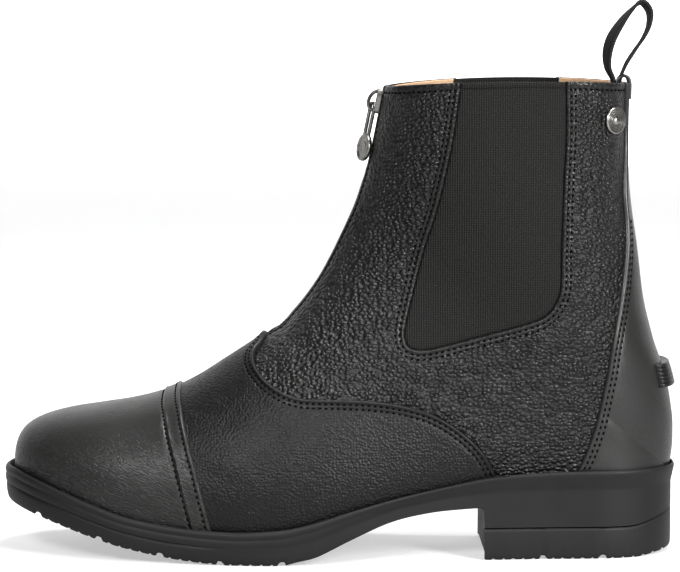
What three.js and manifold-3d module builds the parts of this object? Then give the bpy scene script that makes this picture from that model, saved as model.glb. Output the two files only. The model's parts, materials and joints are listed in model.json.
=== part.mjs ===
// A jodhpur boot for the left foot, standing empty on its moulded sole, in millimetres.
// The toe points to -X, the wearer's outer side faces -Y, and Z is up from the ground.
// The last is one surface: sections run from the toe round the heel to the collar, and
// every leather piece is a band of that surface between two offsets.
import * as THREE from "three";
import { mergeVertices } from "three/addons/utils/BufferGeometryUtils.js";
import Module from "manifold-3d";

const wasm = await Module();
wasm.setup();

// Driving sizes of the last
const LAST_LENGTH = 281;
const BALL_WIDTH = 94;
const COLLAR_WIDTH = 71;
const THROAT_HEIGHT = 90;
const COLLAR_HEIGHT = 202;
const TOE_SWING = 7;

// Driving sizes of the sole
const FORE_THICKNESS = 14.2;
const TOE_RISE = 21.8;
const HEEL_RISE = 23.5;
const TOE_SPRING = 21.5;
const ARCH_HEIGHT = 22.3;
const TOE_LEDGE = 5.8;
const BALL_LEDGE = 5.2;
const HEEL_LEDGE = 3.6;
const LIP_HEIGHT = 3;
const LIP_SLANT = 1.3;
const HEEL_LIFT = 13.4;
const HEEL_LIFT_BACK = 21.2;
const HEEL_INSET = 1.4;
const BREAST_CURVE = 4;
const HEEL_BEVEL = 2.5;
const GROOVE_RADIUS = 1.3;
const GROOVE_PITCH = 25.4;

// Driving sizes of the leather and trim
const WALL = 2.2;
const VAMP_THICKNESS = 1.1;
const CAP_THICKNESS = 1.9;
const PANEL_THICKNESS = 1.2;
const GUSSET_THICKNESS = 1.4;
const GUSSET_RECESS = 0.5;
const INSOLE_THICKNESS = 3.5;
const GAP = 0.3;
const SEAT_GAP = 0.7;

// Driving sizes of the zip, stud, loop and spur rest
const ZIP_WIDTH = 6.6;
const CHAIN_WIDTH = 4;
const CHAIN_THICKNESS = 1.5;
const TAPE_THICKNESS = 0.8;
const SLIDER_LENGTH = 10.5;
const SLIDER_DROP = 6.8;
const SLIDER_WIDTH = 8;
const SLIDER_PLATE = 1.3;
const BAIL_WIDTH = 2.2;
const BAIL_WIRE = 1.1;
const BAIL_TOP = 1;
const BAIL_FOOT = 0.6;
const BAIL_SLANT = 1.2;
const SLIDER_WAIST = 0.7;
const PIVOT_RADIUS = 0.8;
const PIVOT_CLEARANCE = 0.45;
const PULL_LINK = 13.4;
const PULL_WIRE = 1.3;
const PULL_DISC = 12;
const PULL_THICKNESS = 1.8;
const STUD_DIAMETER = 11.4;
const STUD_THICKNESS = 1.6;
const LOOP_TAPE = 1.5;
const LOOP_WIDTH = 9;
const LOOP_HEIGHT = 33;
const LOOP_TAIL = 20;
const SPUR_HEIGHT = 9.5;
const SPUR_DEPTH = 3.2;
const SPUR_WIDTH = 34;

// Resolution of the faceted surface
const HALF_POINTS = 10;
const EDGE_SHARE = 0.45;
const FINE = [[12, 16], [19, 22]];

// A table with named columns
function table(names, rows) {
  const keys = names.split(" ");
  return rows.map((row) => Object.fromEntries(row.map((value, i) => [keys[i], value])));
}

// The sole's height shares along the last: toe and heel say how much of the toe's and the
// heel's rise the rim has there, spring and arch how much of the toe spring and the arch
// the underside has.
const SOLE_LINE = table("along toe heel spring arch", [
  [0.0, 1.0, 0, 1.0, 0],
  [0.04, 0.84, 0, 0.83, 0],
  [0.08, 0.66, 0, 0.66, 0],
  [0.125, 0.45, 0, 0.47, 0],
  [0.17, 0.26, 0, 0.3, 0],
  [0.22, 0.13, 0, 0.16, 0],
  [0.27, 0.05, 0, 0.06, 0],
  [0.325, 0, 0, 0, 0],
  [0.36, 0, 0, 0, 0],
  [0.41, 0, 0.04, 0, 0],
  [0.432, 0, 0.085, 0, 0.065],
  [0.46, 0, 0.165, 0, 0.15],
  [0.51, 0, 0.34, 0, 0.45],
  [0.57, 0, 0.53, 0, 0.77],
  [0.63, 0, 0.69, 0, 0.93],
  [0.69, 0, 0.835, 0, 0.99],
  [0.73, 0, 0.915, 0, 1],
  [0.81, 0, 0.98, 0, 1],
  [0.88, 0, 1, 0, 1],
  [1.0, 0, 1, 0, 1],
]);

// The last's bottom outline: half width as a share of half the ball width, and how far its
// middle lies to the inner side, as a share of the toe swing. Round ends close it.
const OUTLINE = table("along half swing", [
  [0.0, 0.88, 1.0],
  [0.1, 0.9, 0.86],
  [0.2, 0.955, 0.56],
  [0.3, 1.0, 0.17],
  [0.37, 1.0, -0.2],
  [0.45, 0.93, -0.56],
  [0.52, 0.84, -0.72],
  [0.6, 0.745, -0.7],
  [0.7, 0.676, -0.5],
  [0.8, 0.655, -0.24],
  [0.9, 0.651, -0.06],
  [1.0, 0.651, 0],
]);
const TOE_ROUND = { span: 0.2, power: 2.15 };
const HEEL_ROUND = { span: 0.12, power: 2.1 };

// The last's sections. Each lies in a plane square to the side view, from a point on the
// front ridge (ridge, top) down to the sole's edge or, once rise is above 0, to the back
// (base, rise). along and base are shares of the length, top and rise are levels: 1 is the
// throat and 2 the collar. ball and shaft give the half width, widest its height in the
// section, crown and side the roundness above and below it, lean the ridge's swing.
const SECTIONS = table("along top base rise ball shaft widest crown side lean", [
  [0.0, 0.4, 0.0, 0, 0.93, 0, 0.3, 2.2, 2.4, 1.0],
  [0.001, 0.461, 0.0015, 0, 0.93, 0, 0.3, 2.2, 2.4, 1.0],
  [0.005, 0.513, 0.0058, 0, 0.93, 0, 0.3, 2.2, 2.4, 0.99],
  [0.013, 0.556, 0.0145, 0, 0.93, 0, 0.3, 2.2, 2.4, 0.98],
  [0.028, 0.592, 0.03, 0, 0.93, 0, 0.3, 2.2, 2.4, 0.96],
  [0.052, 0.622, 0.053, 0, 0.94, 0, 0.3, 2.25, 2.4, 0.92],
  [0.087, 0.648, 0.086, 0, 0.95, 0, 0.3, 2.3, 2.4, 0.86],
  [0.133, 0.67, 0.128, 0, 0.97, 0, 0.3, 2.3, 2.4, 0.78],
  [0.185, 0.698, 0.175, 0, 0.995, 0, 0.28, 2.2, 2.4, 0.66],
  [0.235, 0.744, 0.222, 0, 1.02, 0, 0.26, 2.1, 2.4, 0.5],
  [0.281, 0.815, 0.268, 0, 1.04, 0, 0.24, 2.0, 2.4, 0.34],
  [0.324, 0.902, 0.318, 0, 1.045, 0, 0.22, 1.9, 2.4, 0.2],
  [0.365, 0.985, 0.372, 0, 1.035, 0, 0.2, 1.85, 2.4, 0.08],
  [0.404, 1.062, 0.441, 0, 0.99, 0, 0.2, 1.8, 2.4, 0],
  [0.434, 1.143, 0.523, 0, 0.72, 0.25, 0.2, 1.8, 2.4, 0],
  [0.461, 1.237, 0.616, 0, 0.44, 0.5, 0.22, 1.85, 2.4, 0],
  [0.48, 1.321, 0.708, 0, 0.2, 0.75, 0.26, 1.9, 2.4, 0],
  [0.495, 1.397, 0.797, 0, 0, 0.98, 0.3, 1.95, 2.4, 0],
  [0.5075, 1.464, 0.879, 0, 0, 0.967, 0.34, 2.0, 2.35, 0],
  [0.517, 1.518, 0.9395, 0, 0, 0.964, 0.38, 2.0, 2.3, 0],
  [0.523, 1.558, 0.9786, 0, 0, 0.966, 0.4, 2.05, 2.3, 0],
  [0.527, 1.589, 0.9964, 0, 0, 0.968, 0.42, 2.05, 2.25, 0],
  [0.53, 1.612, 1.0, 0, 0, 0.97, 0.43, 2.05, 2.25, 0],
  [0.534, 1.641, 1.005, 0.53, 0, 0.974, 0.44, 2.1, 2.25, 0],
  [0.538, 1.679, 1.002, 0.69, 0, 0.98, 0.45, 2.1, 2.25, 0],
  [0.5423, 1.723, 0.992, 0.845, 0, 0.986, 0.46, 2.1, 2.3, 0],
  [0.5466, 1.77, 0.9737, 1.01, 0, 0.992, 0.47, 2.1, 2.35, 0],
  [0.551, 1.821, 0.958, 1.17, 0, 0.996, 0.48, 2.1, 2.4, 0],
  [0.555, 1.87, 0.948, 1.365, 0, 1, 0.49, 2.1, 2.5, 0],
  [0.559, 1.92, 0.936, 1.58, 0, 1, 0.5, 2.1, 2.55, 0],
  [0.562, 1.955, 0.9325, 1.79, 0, 1, 0.5, 2.1, 2.6, 0],
  [0.565, 1.982, 0.9345, 1.995, 0, 1, 0.5, 2.1, 2.6, 0],
]);
const CLOSED_FROM = SECTIONS.findIndex((row) => row.base === 1);
const LAST_SECTION = SECTIONS.length - 1;
const CROWN_SHARE = 0.55;
const COLLAR_CREST = 2.2;
const CREST_SECTIONS = 2;

// Panel edges in the side view, as [along, level] from top to bottom
const VAMP_EDGE = [
  [0.39, 1.06], [0.375, 1.0], [0.362, 0.945], [0.367, 0.905], [0.38, 0.856],
  [0.394, 0.822], [0.415, 0.788], [0.438, 0.768], [0.498, 0.763], [0.542, 0.757],
  [0.587, 0.739], [0.632, 0.701], [0.662, 0.653], [0.692, 0.583], [0.715, 0.507],
  [0.733, 0.4], [0.747, 0.22],
];
const CAP_EDGE = [
  [0.249, 0.9], [0.249, 0.8], [0.25, 0.74], [0.2545, 0.692], [0.261, 0.617],
  [0.273, 0.493], [0.286, 0.355], [0.296, 0.24], [0.304, 0.14], [0.31, 0.03],
];
const PANEL_EDGE = [
  [0.9305, 2.1], [0.9305, 1.75], [0.928, 1.58], [0.931, 1.45], [0.9308, 1.39],
  [0.9283, 1.32], [0.9214, 1.193], [0.911, 1.058], [0.905, 0.978], [0.9005, 0.883],
  [0.8937, 0.783], [0.8837, 0.642], [0.8707, 0.52], [0.8577, 0.428], [0.835, 0.28],
];
const GUSSET_EDGE = [
  [0.681, 2.1], [0.678, 2.0], [0.6655, 1.774], [0.6525, 1.62], [0.64, 1.495],
  [0.626, 1.39], [0.609, 1.22], [0.5995, 1.12], [0.595, 1.055], [0.6, 1.007],
  [0.613, 0.992], [0.63, 0.994], [0.6755, 1.022], [0.724, 1.055], [0.773, 1.088],
  [0.805, 1.12], [0.822, 1.17], [0.829, 1.22], [0.8305, 1.36], [0.8335, 1.6],
  [0.837, 1.8], [0.836, 2.0], [0.834, 2.1],
];

// Small numbers of the drawing itself
const DIFFERENCE = 1e-3;
const REACH = 60;

// Cubic curve through the rows of a table at any place along it
function column(table, name, at) {
  const last = table.length - 1;
  let i = 0;
  while (i < last - 1 && table[i + 1].along < at) i++;
  const a = table[i], b = table[i + 1];
  const span = b.along - a.along;
  const slope = (j) => {
    const low = table[Math.max(0, j - 1)], high = table[Math.min(last, j + 1)];
    return (high[name] - low[name]) / (high.along - low.along);
  };
  const u = Math.min(1, Math.max(0, (at - a.along) / span));
  return hermite(a[name], b[name], slope(i) * span, slope(i + 1) * span, u);
}

function hermite(p, q, m, n, u) {
  const v = u * u, w = v * u;
  return (2 * w - 3 * v + 1) * p + (w - 2 * v + u) * m + (3 * v - 2 * w) * q + (w - v) * n;
}

// One column of the sections at a fractional row
function sectionValue(name, s) {
  const i = Math.min(LAST_SECTION - 1, Math.floor(s));
  const at = (j) => SECTIONS[Math.min(LAST_SECTION, Math.max(0, j))][name];
  const m = (at(i + 1) - at(i - 1)) / 2, n = (at(i + 2) - at(i)) / 2;
  return hermite(at(i), at(i + 1), m, n, s - i);
}

const soleLength = LAST_LENGTH + TOE_LEDGE + HEEL_LEDGE;
const xAt = (along) => along * LAST_LENGTH + TOE_LEDGE - soleLength / 2;
const alongAt = (x) => (x - TOE_LEDGE + soleLength / 2) / LAST_LENGTH;
const zAt = (level) => level <= 1
  ? level * THROAT_HEIGHT
  : THROAT_HEIGHT + (level - 1) * (COLLAR_HEIGHT - THROAT_HEIGHT);

// Heights of the sole's rim, of the seat inside it and of its underside
const rimHeight = (along) => FORE_THICKNESS
  + TOE_RISE * column(SOLE_LINE, "toe", along)
  + HEEL_RISE * column(SOLE_LINE, "heel", along);
const seatHeight = (along) => rimHeight(along) - LIP_HEIGHT;
const underHeight = (along) => Math.max(0, TOE_SPRING * column(SOLE_LINE, "spring", along)
  + ARCH_HEIGHT * column(SOLE_LINE, "arch", along));

function roundEnd(distance, { span, power }) {
  if (distance >= span) return 1;
  const u = 1 - Math.max(0, distance) / span;
  return (1 - u ** power) ** (1 / power);
}

// The last's bottom outline at a place along it
const toeRound = (along) => roundEnd(along, TOE_ROUND);
const heelRound = (along) => roundEnd(1 - along, HEEL_ROUND);
const halfWidth = (along) => (BALL_WIDTH / 2) * column(OUTLINE, "half", along)
  * toeRound(along) * heelRound(along);
const middle = (along) => TOE_SWING * column(OUTLINE, "swing", along);

// A point of the last: s counts the sections, k runs from the outer sole edge (-1) over the
// ridge (0) to the inner one (1).
function lastPoint(s, k) {
  const value = (name) => sectionValue(name, s);
  const closed = s >= CLOSED_FROM;
  const base = value("base");
  const top = { x: xAt(value("along")), z: zAt(value("top")) };
  const seat = seatHeight(base) + SEAT_GAP;
  const foot = { x: xAt(base), z: closed ? backHeight(s) : seat };
  const widest = value("widest");
  const half = ((value("ball") * BALL_WIDTH) / 2 + (value("shaft") * COLLAR_WIDTH) / 2)
    * toeRound(base);
  const edge = closed ? 0 : Math.min(halfWidth(base), half * 0.999);
  const q = Math.abs(k);
  let share, y;
  if (q <= CROWN_SHARE) {
    const crown = value("crown");
    const angle = (Math.PI / 2) * (1 - q / CROWN_SHARE);
    share = widest + (1 - widest) * Math.sin(angle) ** (2 / crown);
    y = half * Math.max(0, Math.cos(angle)) ** (2 / crown);
  } else {
    const side = value("side");
    const reach = half > 0 ? (1 - (edge / half) ** side) ** (1 / side) : 1;
    const angle = (Math.asin(reach ** (side / 2)) * (q - CROWN_SHARE)) / (1 - CROWN_SHARE);
    share = widest * (1 - Math.sin(angle) ** (2 / side) / reach);
    y = half * Math.max(0, Math.cos(angle)) ** (2 / side);
  }
  const centre = closed ? 0 : middle(base) * (1 - share);
  const crest = COLLAR_CREST * Math.max(0, 1 - (LAST_SECTION - s) / CREST_SECTIONS);
  return new THREE.Vector3(
    foot.x + (top.x - foot.x) * share,
    centre + TOE_SWING * value("lean") * share + Math.sign(k) * y,
    foot.z + (top.z - foot.z) * share + crest * (1 - (2 * share - 1) ** 2),
  );
}

// Height of the back where a closed section meets it
function backHeight(s) {
  const seat = seatHeight(1) + SEAT_GAP;
  if (s >= CLOSED_FROM + 1) return zAt(sectionValue("rise", s));
  const first = zAt(SECTIONS[CLOSED_FROM + 1].rise);
  const slope = (zAt(SECTIONS[CLOSED_FROM + 2].rise) - seat) / 2;
  const u = s - CLOSED_FROM;
  return hermite(seat, first, (first - seat) * 0.8, slope, u);
}

// The last's outward direction at a point
function lastNormal(s, k) {
  if (s === 0) return new THREE.Vector3(-1, 0, 0);
  const closed = s >= CLOSED_FROM;
  const s0 = Math.max(0, s - DIFFERENCE), s1 = Math.min(LAST_SECTION, s + DIFFERENCE);
  const alongS = lastPoint(s1, k).sub(lastPoint(s0, k));
  let alongK;
  if (closed && Math.abs(k) === 1) {
    alongK = lastPoint(s, DIFFERENCE - 1).sub(lastPoint(s, 1 - DIFFERENCE));
    alongK.x = 0;
    alongK.z = 0;
  } else {
    const k0 = Math.max(-1, k - DIFFERENCE), k1 = Math.min(1, k + DIFFERENCE);
    alongK = lastPoint(s, k1).sub(lastPoint(s, k0));
  }
  const normal = alongS.cross(alongK);
  const onEdge = s === LAST_SECTION || (s <= CLOSED_FROM && Math.abs(k) === 1);
  if (onEdge) normal.z = 0;
  return normal.normalize();
}

// A solid from loose points and faces of three or four corners each
function solid(points, faces) {
  const flat = [];
  for (const face of faces)
    for (let i = 2; i < face.length; i++) {
      const [a, b, c] = [points[face[0]], points[face[i - 1]], points[face[i]]];
      flat.push(a.x, a.y, a.z, b.x, b.y, b.z, c.x, c.y, c.z);
    }
  const geometry = new THREE.BufferGeometry();
  geometry.setAttribute("position", new THREE.Float32BufferAttribute(flat, 3));
  return solidOf(geometry);
}

// A solid from a three.js geometry
function solidOf(geometry) {
  const loose = geometry.index ? geometry.toNonIndexed() : geometry.clone();
  loose.deleteAttribute("normal");
  loose.deleteAttribute("uv");
  const merged = mergeVertices(loose, DIFFERENCE);
  const index = merged.index.array;
  const kept = [];
  for (let i = 0; i < index.length; i += 3) {
    const [a, b, c] = index.slice(i, i + 3);
    if (a !== b && b !== c && c !== a) kept.push(a, b, c);
  }
  return new wasm.Manifold(new wasm.Mesh({
    numProp: 3,
    vertProperties: merged.attributes.position.array,
    triVerts: new Uint32Array(kept),
  }));
}

function geometryOf(body) {
  const mesh = body.getMesh();
  const geometry = new THREE.BufferGeometry();
  geometry.setAttribute("position", new THREE.BufferAttribute(mesh.vertProperties, 3));
  geometry.setIndex(new THREE.BufferAttribute(mesh.triVerts, 1));
  const faceted = geometry.toNonIndexed();
  faceted.computeVertexNormals();
  return faceted;
}

// The last as a grid of places, shared by every band
const isFine = (s) => FINE.some(([from, to]) => s >= from && s < to);
const placesS = SECTIONS.flatMap((_, s) => (isFine(s) ? [s, s + 0.5] : [s]));
const rowCount = placesS.length - 1;
const placesK = Array.from({ length: 2 * HALF_POINTS + 1 }, (_, j) => j / HALF_POINTS - 1);
placesK.splice(1, 0, EDGE_SHARE / HALF_POINTS - 1);
placesK.splice(-1, 0, 1 - EDGE_SHARE / HALF_POINTS);
const grid = placesS.map((s) => placesK.map((k) => ({
  point: lastPoint(s, k),
  normal: lastNormal(s, k),
  edge: s <= CLOSED_FROM && Math.abs(k) === 1,
})));
const closedRow = placesS.findIndex((s) => s >= CLOSED_FROM);

// A point of the lower edge, put at the height of the seat under it
function seated(point, edge) {
  if (edge) point.z = seatHeight(alongAt(point.x)) + SEAT_GAP;
  return point;
}

// The wall between two offsets of the last, open at the collar and underneath
function band(outer, inner) {
  const across = placesK.length;
  const points = [];
  for (const offset of [outer, inner])
    for (const row of grid)
      for (const { point, normal, edge } of row)
        points.push(seated(point.clone().addScaledVector(normal, offset), edge));
  const layer = grid.length * across;
  const at = (side, i, j) => side * layer + i * across + j;
  const faces = [];
  for (let i = 0; i < rowCount; i++)
    for (let j = 0; j < across - 1; j++) {
      // the two halves are cut corner to corner as mirror images
      const cell = [[i, j], [i + 1, j], [i + 1, j + 1], [i, j + 1]];
      if (j >= HALF_POINTS + 1) cell.unshift(cell.pop());
      const [a, b, c, d] = cell;
      faces.push([at(0, ...a), at(0, ...b), at(0, ...c), at(0, ...d)]);
      faces.push([at(1, ...a), at(1, ...d), at(1, ...c), at(1, ...b)]);
    }
  for (let i = 0; i < closedRow; i++)
    for (const j of [0, across - 1]) {
      const rim = [at(0, i, j), at(1, i, j), at(1, i + 1, j), at(0, i + 1, j)];
      faces.push(j === 0 ? rim : rim.reverse());
    }
  const top = rowCount;
  for (let j = 0; j < across - 1; j++)
    faces.push([at(0, top, j), at(1, top, j), at(1, top, j + 1), at(0, top, j + 1)]);
  return solid(points, faces);
}

// A straight prism square to the side view: its outline in X and Z, and its two Y ends
function sidePrism(outline, low, high) {
  const shape = new THREE.Shape(outline.map(([x, z]) => new THREE.Vector2(x, z)));
  const geometry = new THREE.ExtrudeGeometry(shape, { depth: high - low, bevelEnabled: false });
  geometry.rotateX(Math.PI / 2);
  geometry.translate(0, high, 0);
  return solidOf(geometry);
}

// A smooth line through [along, level] points in the side view, as [x, z] points
function sideLine(edge, steps) {
  const curve = new THREE.CatmullRomCurve3(
    edge.map(([along, level]) => new THREE.Vector3(xAt(along), 0, zAt(level))),
    false,
    "centripetal",
  );
  return curve.getPoints(steps).map((p) => [p.x, p.z]);
}

// The line moved square to itself, to its left for a positive distance
function moved(line, distance) {
  return line.map(([x, z], i) => {
    const [x0, z0] = line[Math.max(0, i - 1)];
    const [x1, z1] = line[Math.min(line.length - 1, i + 1)];
    const length = Math.hypot(x1 - x0, z1 - z0);
    return [x - ((z1 - z0) / length) * distance, z + ((x1 - x0) / length) * distance];
  });
}

const farToe = xAt(0) - REACH, farHeel = xAt(1) + REACH;
const farUp = COLLAR_HEIGHT + REACH, farDown = -REACH;
const farSide = BALL_WIDTH;
const EDGE_STEPS = 20;

const vampEdge = sideLine(VAMP_EDGE, EDGE_STEPS);
const capEdge = sideLine(CAP_EDGE, EDGE_STEPS / 2);
const panelEdge = sideLine(PANEL_EDGE, EDGE_STEPS);
const gussetEdge = sideLine(GUSSET_EDGE, 2 * EDGE_STEPS);

// Everything between a line that runs from top to bottom and a far upright
function beside(line, far) {
  const last = line[line.length - 1];
  const outline = [[far, farUp], [line[0][0], farUp], ...line, [last[0], farDown], [far, farDown]];
  return sidePrism(outline, -farSide, farSide);
}
const inFront = (line) => beside(line, farToe);
const behind = (line) => beside(line, farHeel);

// Upper: the quarters and lining as one wall, with windows for the gussets and a slot for
// the zip
const RIDGE_FROM = 12.5;
const ridge = [];
for (let s = RIDGE_FROM; s < LAST_SECTION; s += 1)
  ridge.push({ point: lastPoint(s, 0), normal: lastNormal(s, 0) });
ridge.push({ point: lastPoint(LAST_SECTION, 0), normal: lastNormal(LAST_SECTION, 0) });
const ridgeLine = (offset) => ridge.map(({ point, normal }) => [
  point.x + normal.x * offset,
  point.z + normal.z * offset,
]);

function zipSlot() {
  const front = ridgeLine(REACH / 8), back = ridgeLine(-2 * WALL);
  const outline = [...front, [front.at(-1)[0], farUp], [back.at(-1)[0], farUp], ...back.reverse()];
  return sidePrism(outline, -ZIP_WIDTH / 2 - GAP, ZIP_WIDTH / 2 + GAP);
}

const wall = band(0, -WALL);
const windows = sidePrism(gussetEdge, -farSide, farSide);
const upper = wall.subtract(windows).subtract(zipSlot());

// Gussets: elastic panels that fill the windows, a little below the leather
const gussetForm = band(-GUSSET_RECESS, -GUSSET_RECESS - GUSSET_THICKNESS);
const gussetOutline = moved(gussetEdge, GAP);
const gussetOf = (low, high) => gussetForm.intersect(sidePrism(gussetOutline, low, high));

// Vamp, toe cap and back panel: the leather laid over the upper
const vampForm = band(GAP + VAMP_THICKNESS, GAP);
const capForm = band(GAP + CAP_THICKNESS, GAP);
const panelForm = band(GAP + PANEL_THICKNESS, GAP);
const vamp = vampForm.intersect(inFront(vampEdge)).subtract(inFront(moved(capEdge, GAP)));
const toeCap = capForm.intersect(inFront(capEdge));
const backPanel = panelForm.intersect(behind(panelEdge));

// The outline of the last's bottom: a point on each side where a section meets the sole
const stations = placesS.filter((s) => s <= CLOSED_FROM).map((s) => sectionValue("base", s));
const lastStation = stations.length - 1;

function outlinePoint(along, side) {
  return new THREE.Vector2(xAt(along), middle(along) + side * halfWidth(along));
}

function outlineNormal(along, side) {
  if (along <= 0) return new THREE.Vector2(-1, 0);
  if (along >= 1) return new THREE.Vector2(1, 0);
  const step = Math.min(DIFFERENCE, along / 2, (1 - along) / 2);
  const d = outlinePoint(along + step, side).sub(outlinePoint(along - step, side)).normalize();
  return new THREE.Vector2(-d.y * side, d.x * side);
}

// The sole's rim stands out from the last by a ledge that narrows towards the heel
const ledge = (along) => {
  const fore = TOE_LEDGE + (BALL_LEDGE - TOE_LEDGE) * Math.min(1, along / 0.3);
  const back = Math.min(1, Math.max(0, (along - 0.4) / 0.35));
  return fore + (HEEL_LEDGE - fore) * back * back * (3 - 2 * back);
};
const lipInside = (along) => {
  const cover = along < 0.75 ? CAP_THICKNESS : PANEL_THICKNESS;
  return cover + 2 * GAP;
};

// A ring of the sole: one point at the toe, pairs along the sides and one at the heel
function ring(offset, height) {
  const points = [];
  stations.forEach((along, i) => {
    const sides = i === 0 || i === lastStation ? [1] : [-1, 1];
    for (const side of sides) {
      const p = outlinePoint(along, side).addScaledVector(outlineNormal(along, side), offset(along));
      points.push(new THREE.Vector3(p.x, p.y, height(alongAt(p.x))));
    }
  });
  return points;
}

// A closed solid through rings from bottom to top, capped across the pairs
function ringSolid(rings) {
  const count = 2 * lastStation;
  const outer = (i) => (i === 0 ? 0 : i === lastStation ? count - 1 : 2 * i - 1);
  const inner = (i) => (i === 0 ? 0 : i === lastStation ? count - 1 : 2 * i);
  const points = rings.flat();
  const faces = [];
  const around = [];
  for (let i = 0; i <= lastStation; i++) around.push(outer(i));
  for (let i = lastStation - 1; i > 0; i--) around.push(inner(i));
  for (let r = 0; r < rings.length - 1; r++)
    around.forEach((a, j) => {
      const b = around[(j + 1) % around.length];
      faces.push([r * count + a, r * count + b, (r + 1) * count + b, (r + 1) * count + a]);
    });
  const top = (rings.length - 1) * count;
  for (let i = 0; i < lastStation; i++) {
    faces.push([outer(i), inner(i), inner(i + 1), outer(i + 1)]);
    faces.push([top + outer(i), top + outer(i + 1), top + inner(i + 1), top + inner(i)]);
  }
  return solid(points, faces);
}

// The sole's side from the underside up: how far each level lies up the edge, and how far
// inside the rim's widest line, at the toe and at the heel
const SIDE_LEVELS = table("up toe heel", [
  [0.0, 2.2, 1.4],
  [0.1, 0.9, 1.4],
  [0.42, 0.3, 1.4],
  [0.46, 1.2, 1.35],
  [0.52, 0.2, 1.2],
  [0.74, 0, 0.3],
  [0.92, 0.5, 0],
  [1.0, 1.4, 0.6],
]);
const heelwards = (along) => {
  const u = Math.min(1, Math.max(0, (along - 0.3) / 0.3));
  return u * u * (3 - 2 * u);
};

function soleBody() {
  const sideRings = SIDE_LEVELS.map(({ up, toe, heel }) => ring(
    (along) => ledge(along) - toe - (heel - toe) * heelwards(along),
    (along) => underHeight(along) + (rimHeight(along) - underHeight(along)) * up,
  ));
  const lipTop = ring((along) => lipInside(along) + LIP_SLANT, rimHeight);
  const lipFoot = ring(lipInside, seatHeight);
  return ringSolid([...sideRings, lipTop, lipFoot]);
}

// The heel block under the sole, cut at the breast with a hollow curve
const BREAST = 0.714;
function heelBlock(low, high) {
  const back = stations.filter((along) => along > BREAST + 0.01);
  const edge = (along, side) => outlinePoint(along, side)
    .addScaledVector(outlineNormal(along, side), ledge(along) - HEEL_INSET);
  const outline = [
    edge(BREAST, -1),
    ...back.map((along) => edge(along, -1)),
    ...back.slice(0, -1).reverse().map((along) => edge(along, 1)),
    edge(BREAST, 1),
  ];
  const [first, last] = [outline.at(-1), outline[0]];
  for (const u of [0.2, 0.4, 0.6, 0.8]) {
    const p = first.clone().lerp(last, u);
    p.x += BREAST_CURVE * Math.sin(Math.PI * u);
    outline.push(p);
  }
  const shape = new THREE.Shape(outline);
  const geometry = new THREE.ExtrudeGeometry(shape, { depth: high - low, bevelEnabled: false });
  geometry.translate(0, 0, low);
  return solidOf(geometry);
}

// The line between heel block and top piece, level and then rising at the back
function liftLine(drop) {
  const flatTo = xAt(0.93), back = xAt(1) + HEEL_LEDGE;
  const line = [[farToe, HEEL_LIFT - drop], [flatTo, HEEL_LIFT - drop]];
  for (const u of [0.25, 0.5, 0.75, 1]) {
    const rise = (HEEL_LIFT_BACK - HEEL_LIFT) * u * u * (3 - u) / 2;
    line.push([flatTo + (back - flatTo) * u, HEEL_LIFT + rise - drop]);
  }
  return [...line, [farHeel, HEEL_LIFT_BACK - drop]];
}

const under = (line) => sidePrism([...line, [farHeel, farDown], [farToe, farDown]], -farSide, farSide);

// Cross grooves of the tread, one pitch apart
function groove(x, z) {
  const geometry = new THREE.CylinderGeometry(GROOVE_RADIUS, GROOVE_RADIUS, 2 * farSide, 6);
  geometry.rotateY(Math.PI / 6);
  geometry.translate(x, 0, z);
  return solidOf(geometry);
}
const foreGrooves = [0, 1, 2, 3, 4].map((i) => xAt(0.41) - i * GROOVE_PITCH);
const heelGrooves = [1, 2].map((i) => xAt(BREAST) + i * GROOVE_PITCH);

const block = heelBlock(0, zAt(0) + ARCH_HEIGHT + LIP_HEIGHT);
let outsole = soleBody().add(block.subtract(under(liftLine(0))));
for (const x of foreGrooves) outsole = outsole.subtract(groove(x, underHeight(alongAt(x))));

// A bevel under the heel's back edge
const bevelFrom = xAt(0.95), heelBack = xAt(1) + HEEL_LEDGE;
const bevel = sidePrism([
  [farHeel, farDown], [bevelFrom, farDown], [bevelFrom, 0], [heelBack, HEEL_BEVEL], [farHeel, HEEL_BEVEL],
], -farSide, farSide);
let heelLift = block.intersect(under(liftLine(GAP))).subtract(bevel);
for (const x of heelGrooves) heelLift = heelLift.subtract(groove(x, 0));

// Insole: a flat sheet on the seat, inside the upper
const insoleInset = (along) => -WALL - 1 - 1.5 * (1 - toeRound(along) * heelRound(along));
const insole = ringSolid([
  ring(insoleInset, (along) => seatHeight(along) + GAP),
  ring(insoleInset, (along) => seatHeight(along) + GAP + INSOLE_THICKNESS),
]);

// Zip: the tape with its chain, in the slot
function zipStrip(front, back, width) {
  const raised = ([[x0, z0], [x1, z1], ...rest]) => {
    const share = GAP / Math.hypot(x1 - x0, z1 - z0);
    return [[x0 + (x1 - x0) * share, z0 + (z1 - z0) * share], [x1, z1], ...rest];
  };
  const outline = [...raised(ridgeLine(front)), ...raised(ridgeLine(back)).reverse()];
  return sidePrism(outline, -width / 2, width / 2);
}
const chainFront = -GAP;
const tapeFront = chainFront - (CHAIN_THICKNESS - TAPE_THICKNESS) / 2;
const zip = zipStrip(tapeFront, tapeFront - TAPE_THICKNESS, ZIP_WIDTH)
  .add(zipStrip(chainFront, chainFront - CHAIN_THICKNESS, CHAIN_WIDTH));

// The place on the ridge at a height, and its lean from upright
function ridgeAt(z) {
  const i = ridge.findIndex(({ point }) => point.z >= z);
  const [a, b] = [ridge[i - 1].point, ridge[i].point];
  const u = (z - a.z) / (b.z - a.z);
  return { x: a.x + (b.x - a.x) * u, z, tilt: Math.atan2(b.x - a.x, b.z - a.z) };
}

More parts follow.
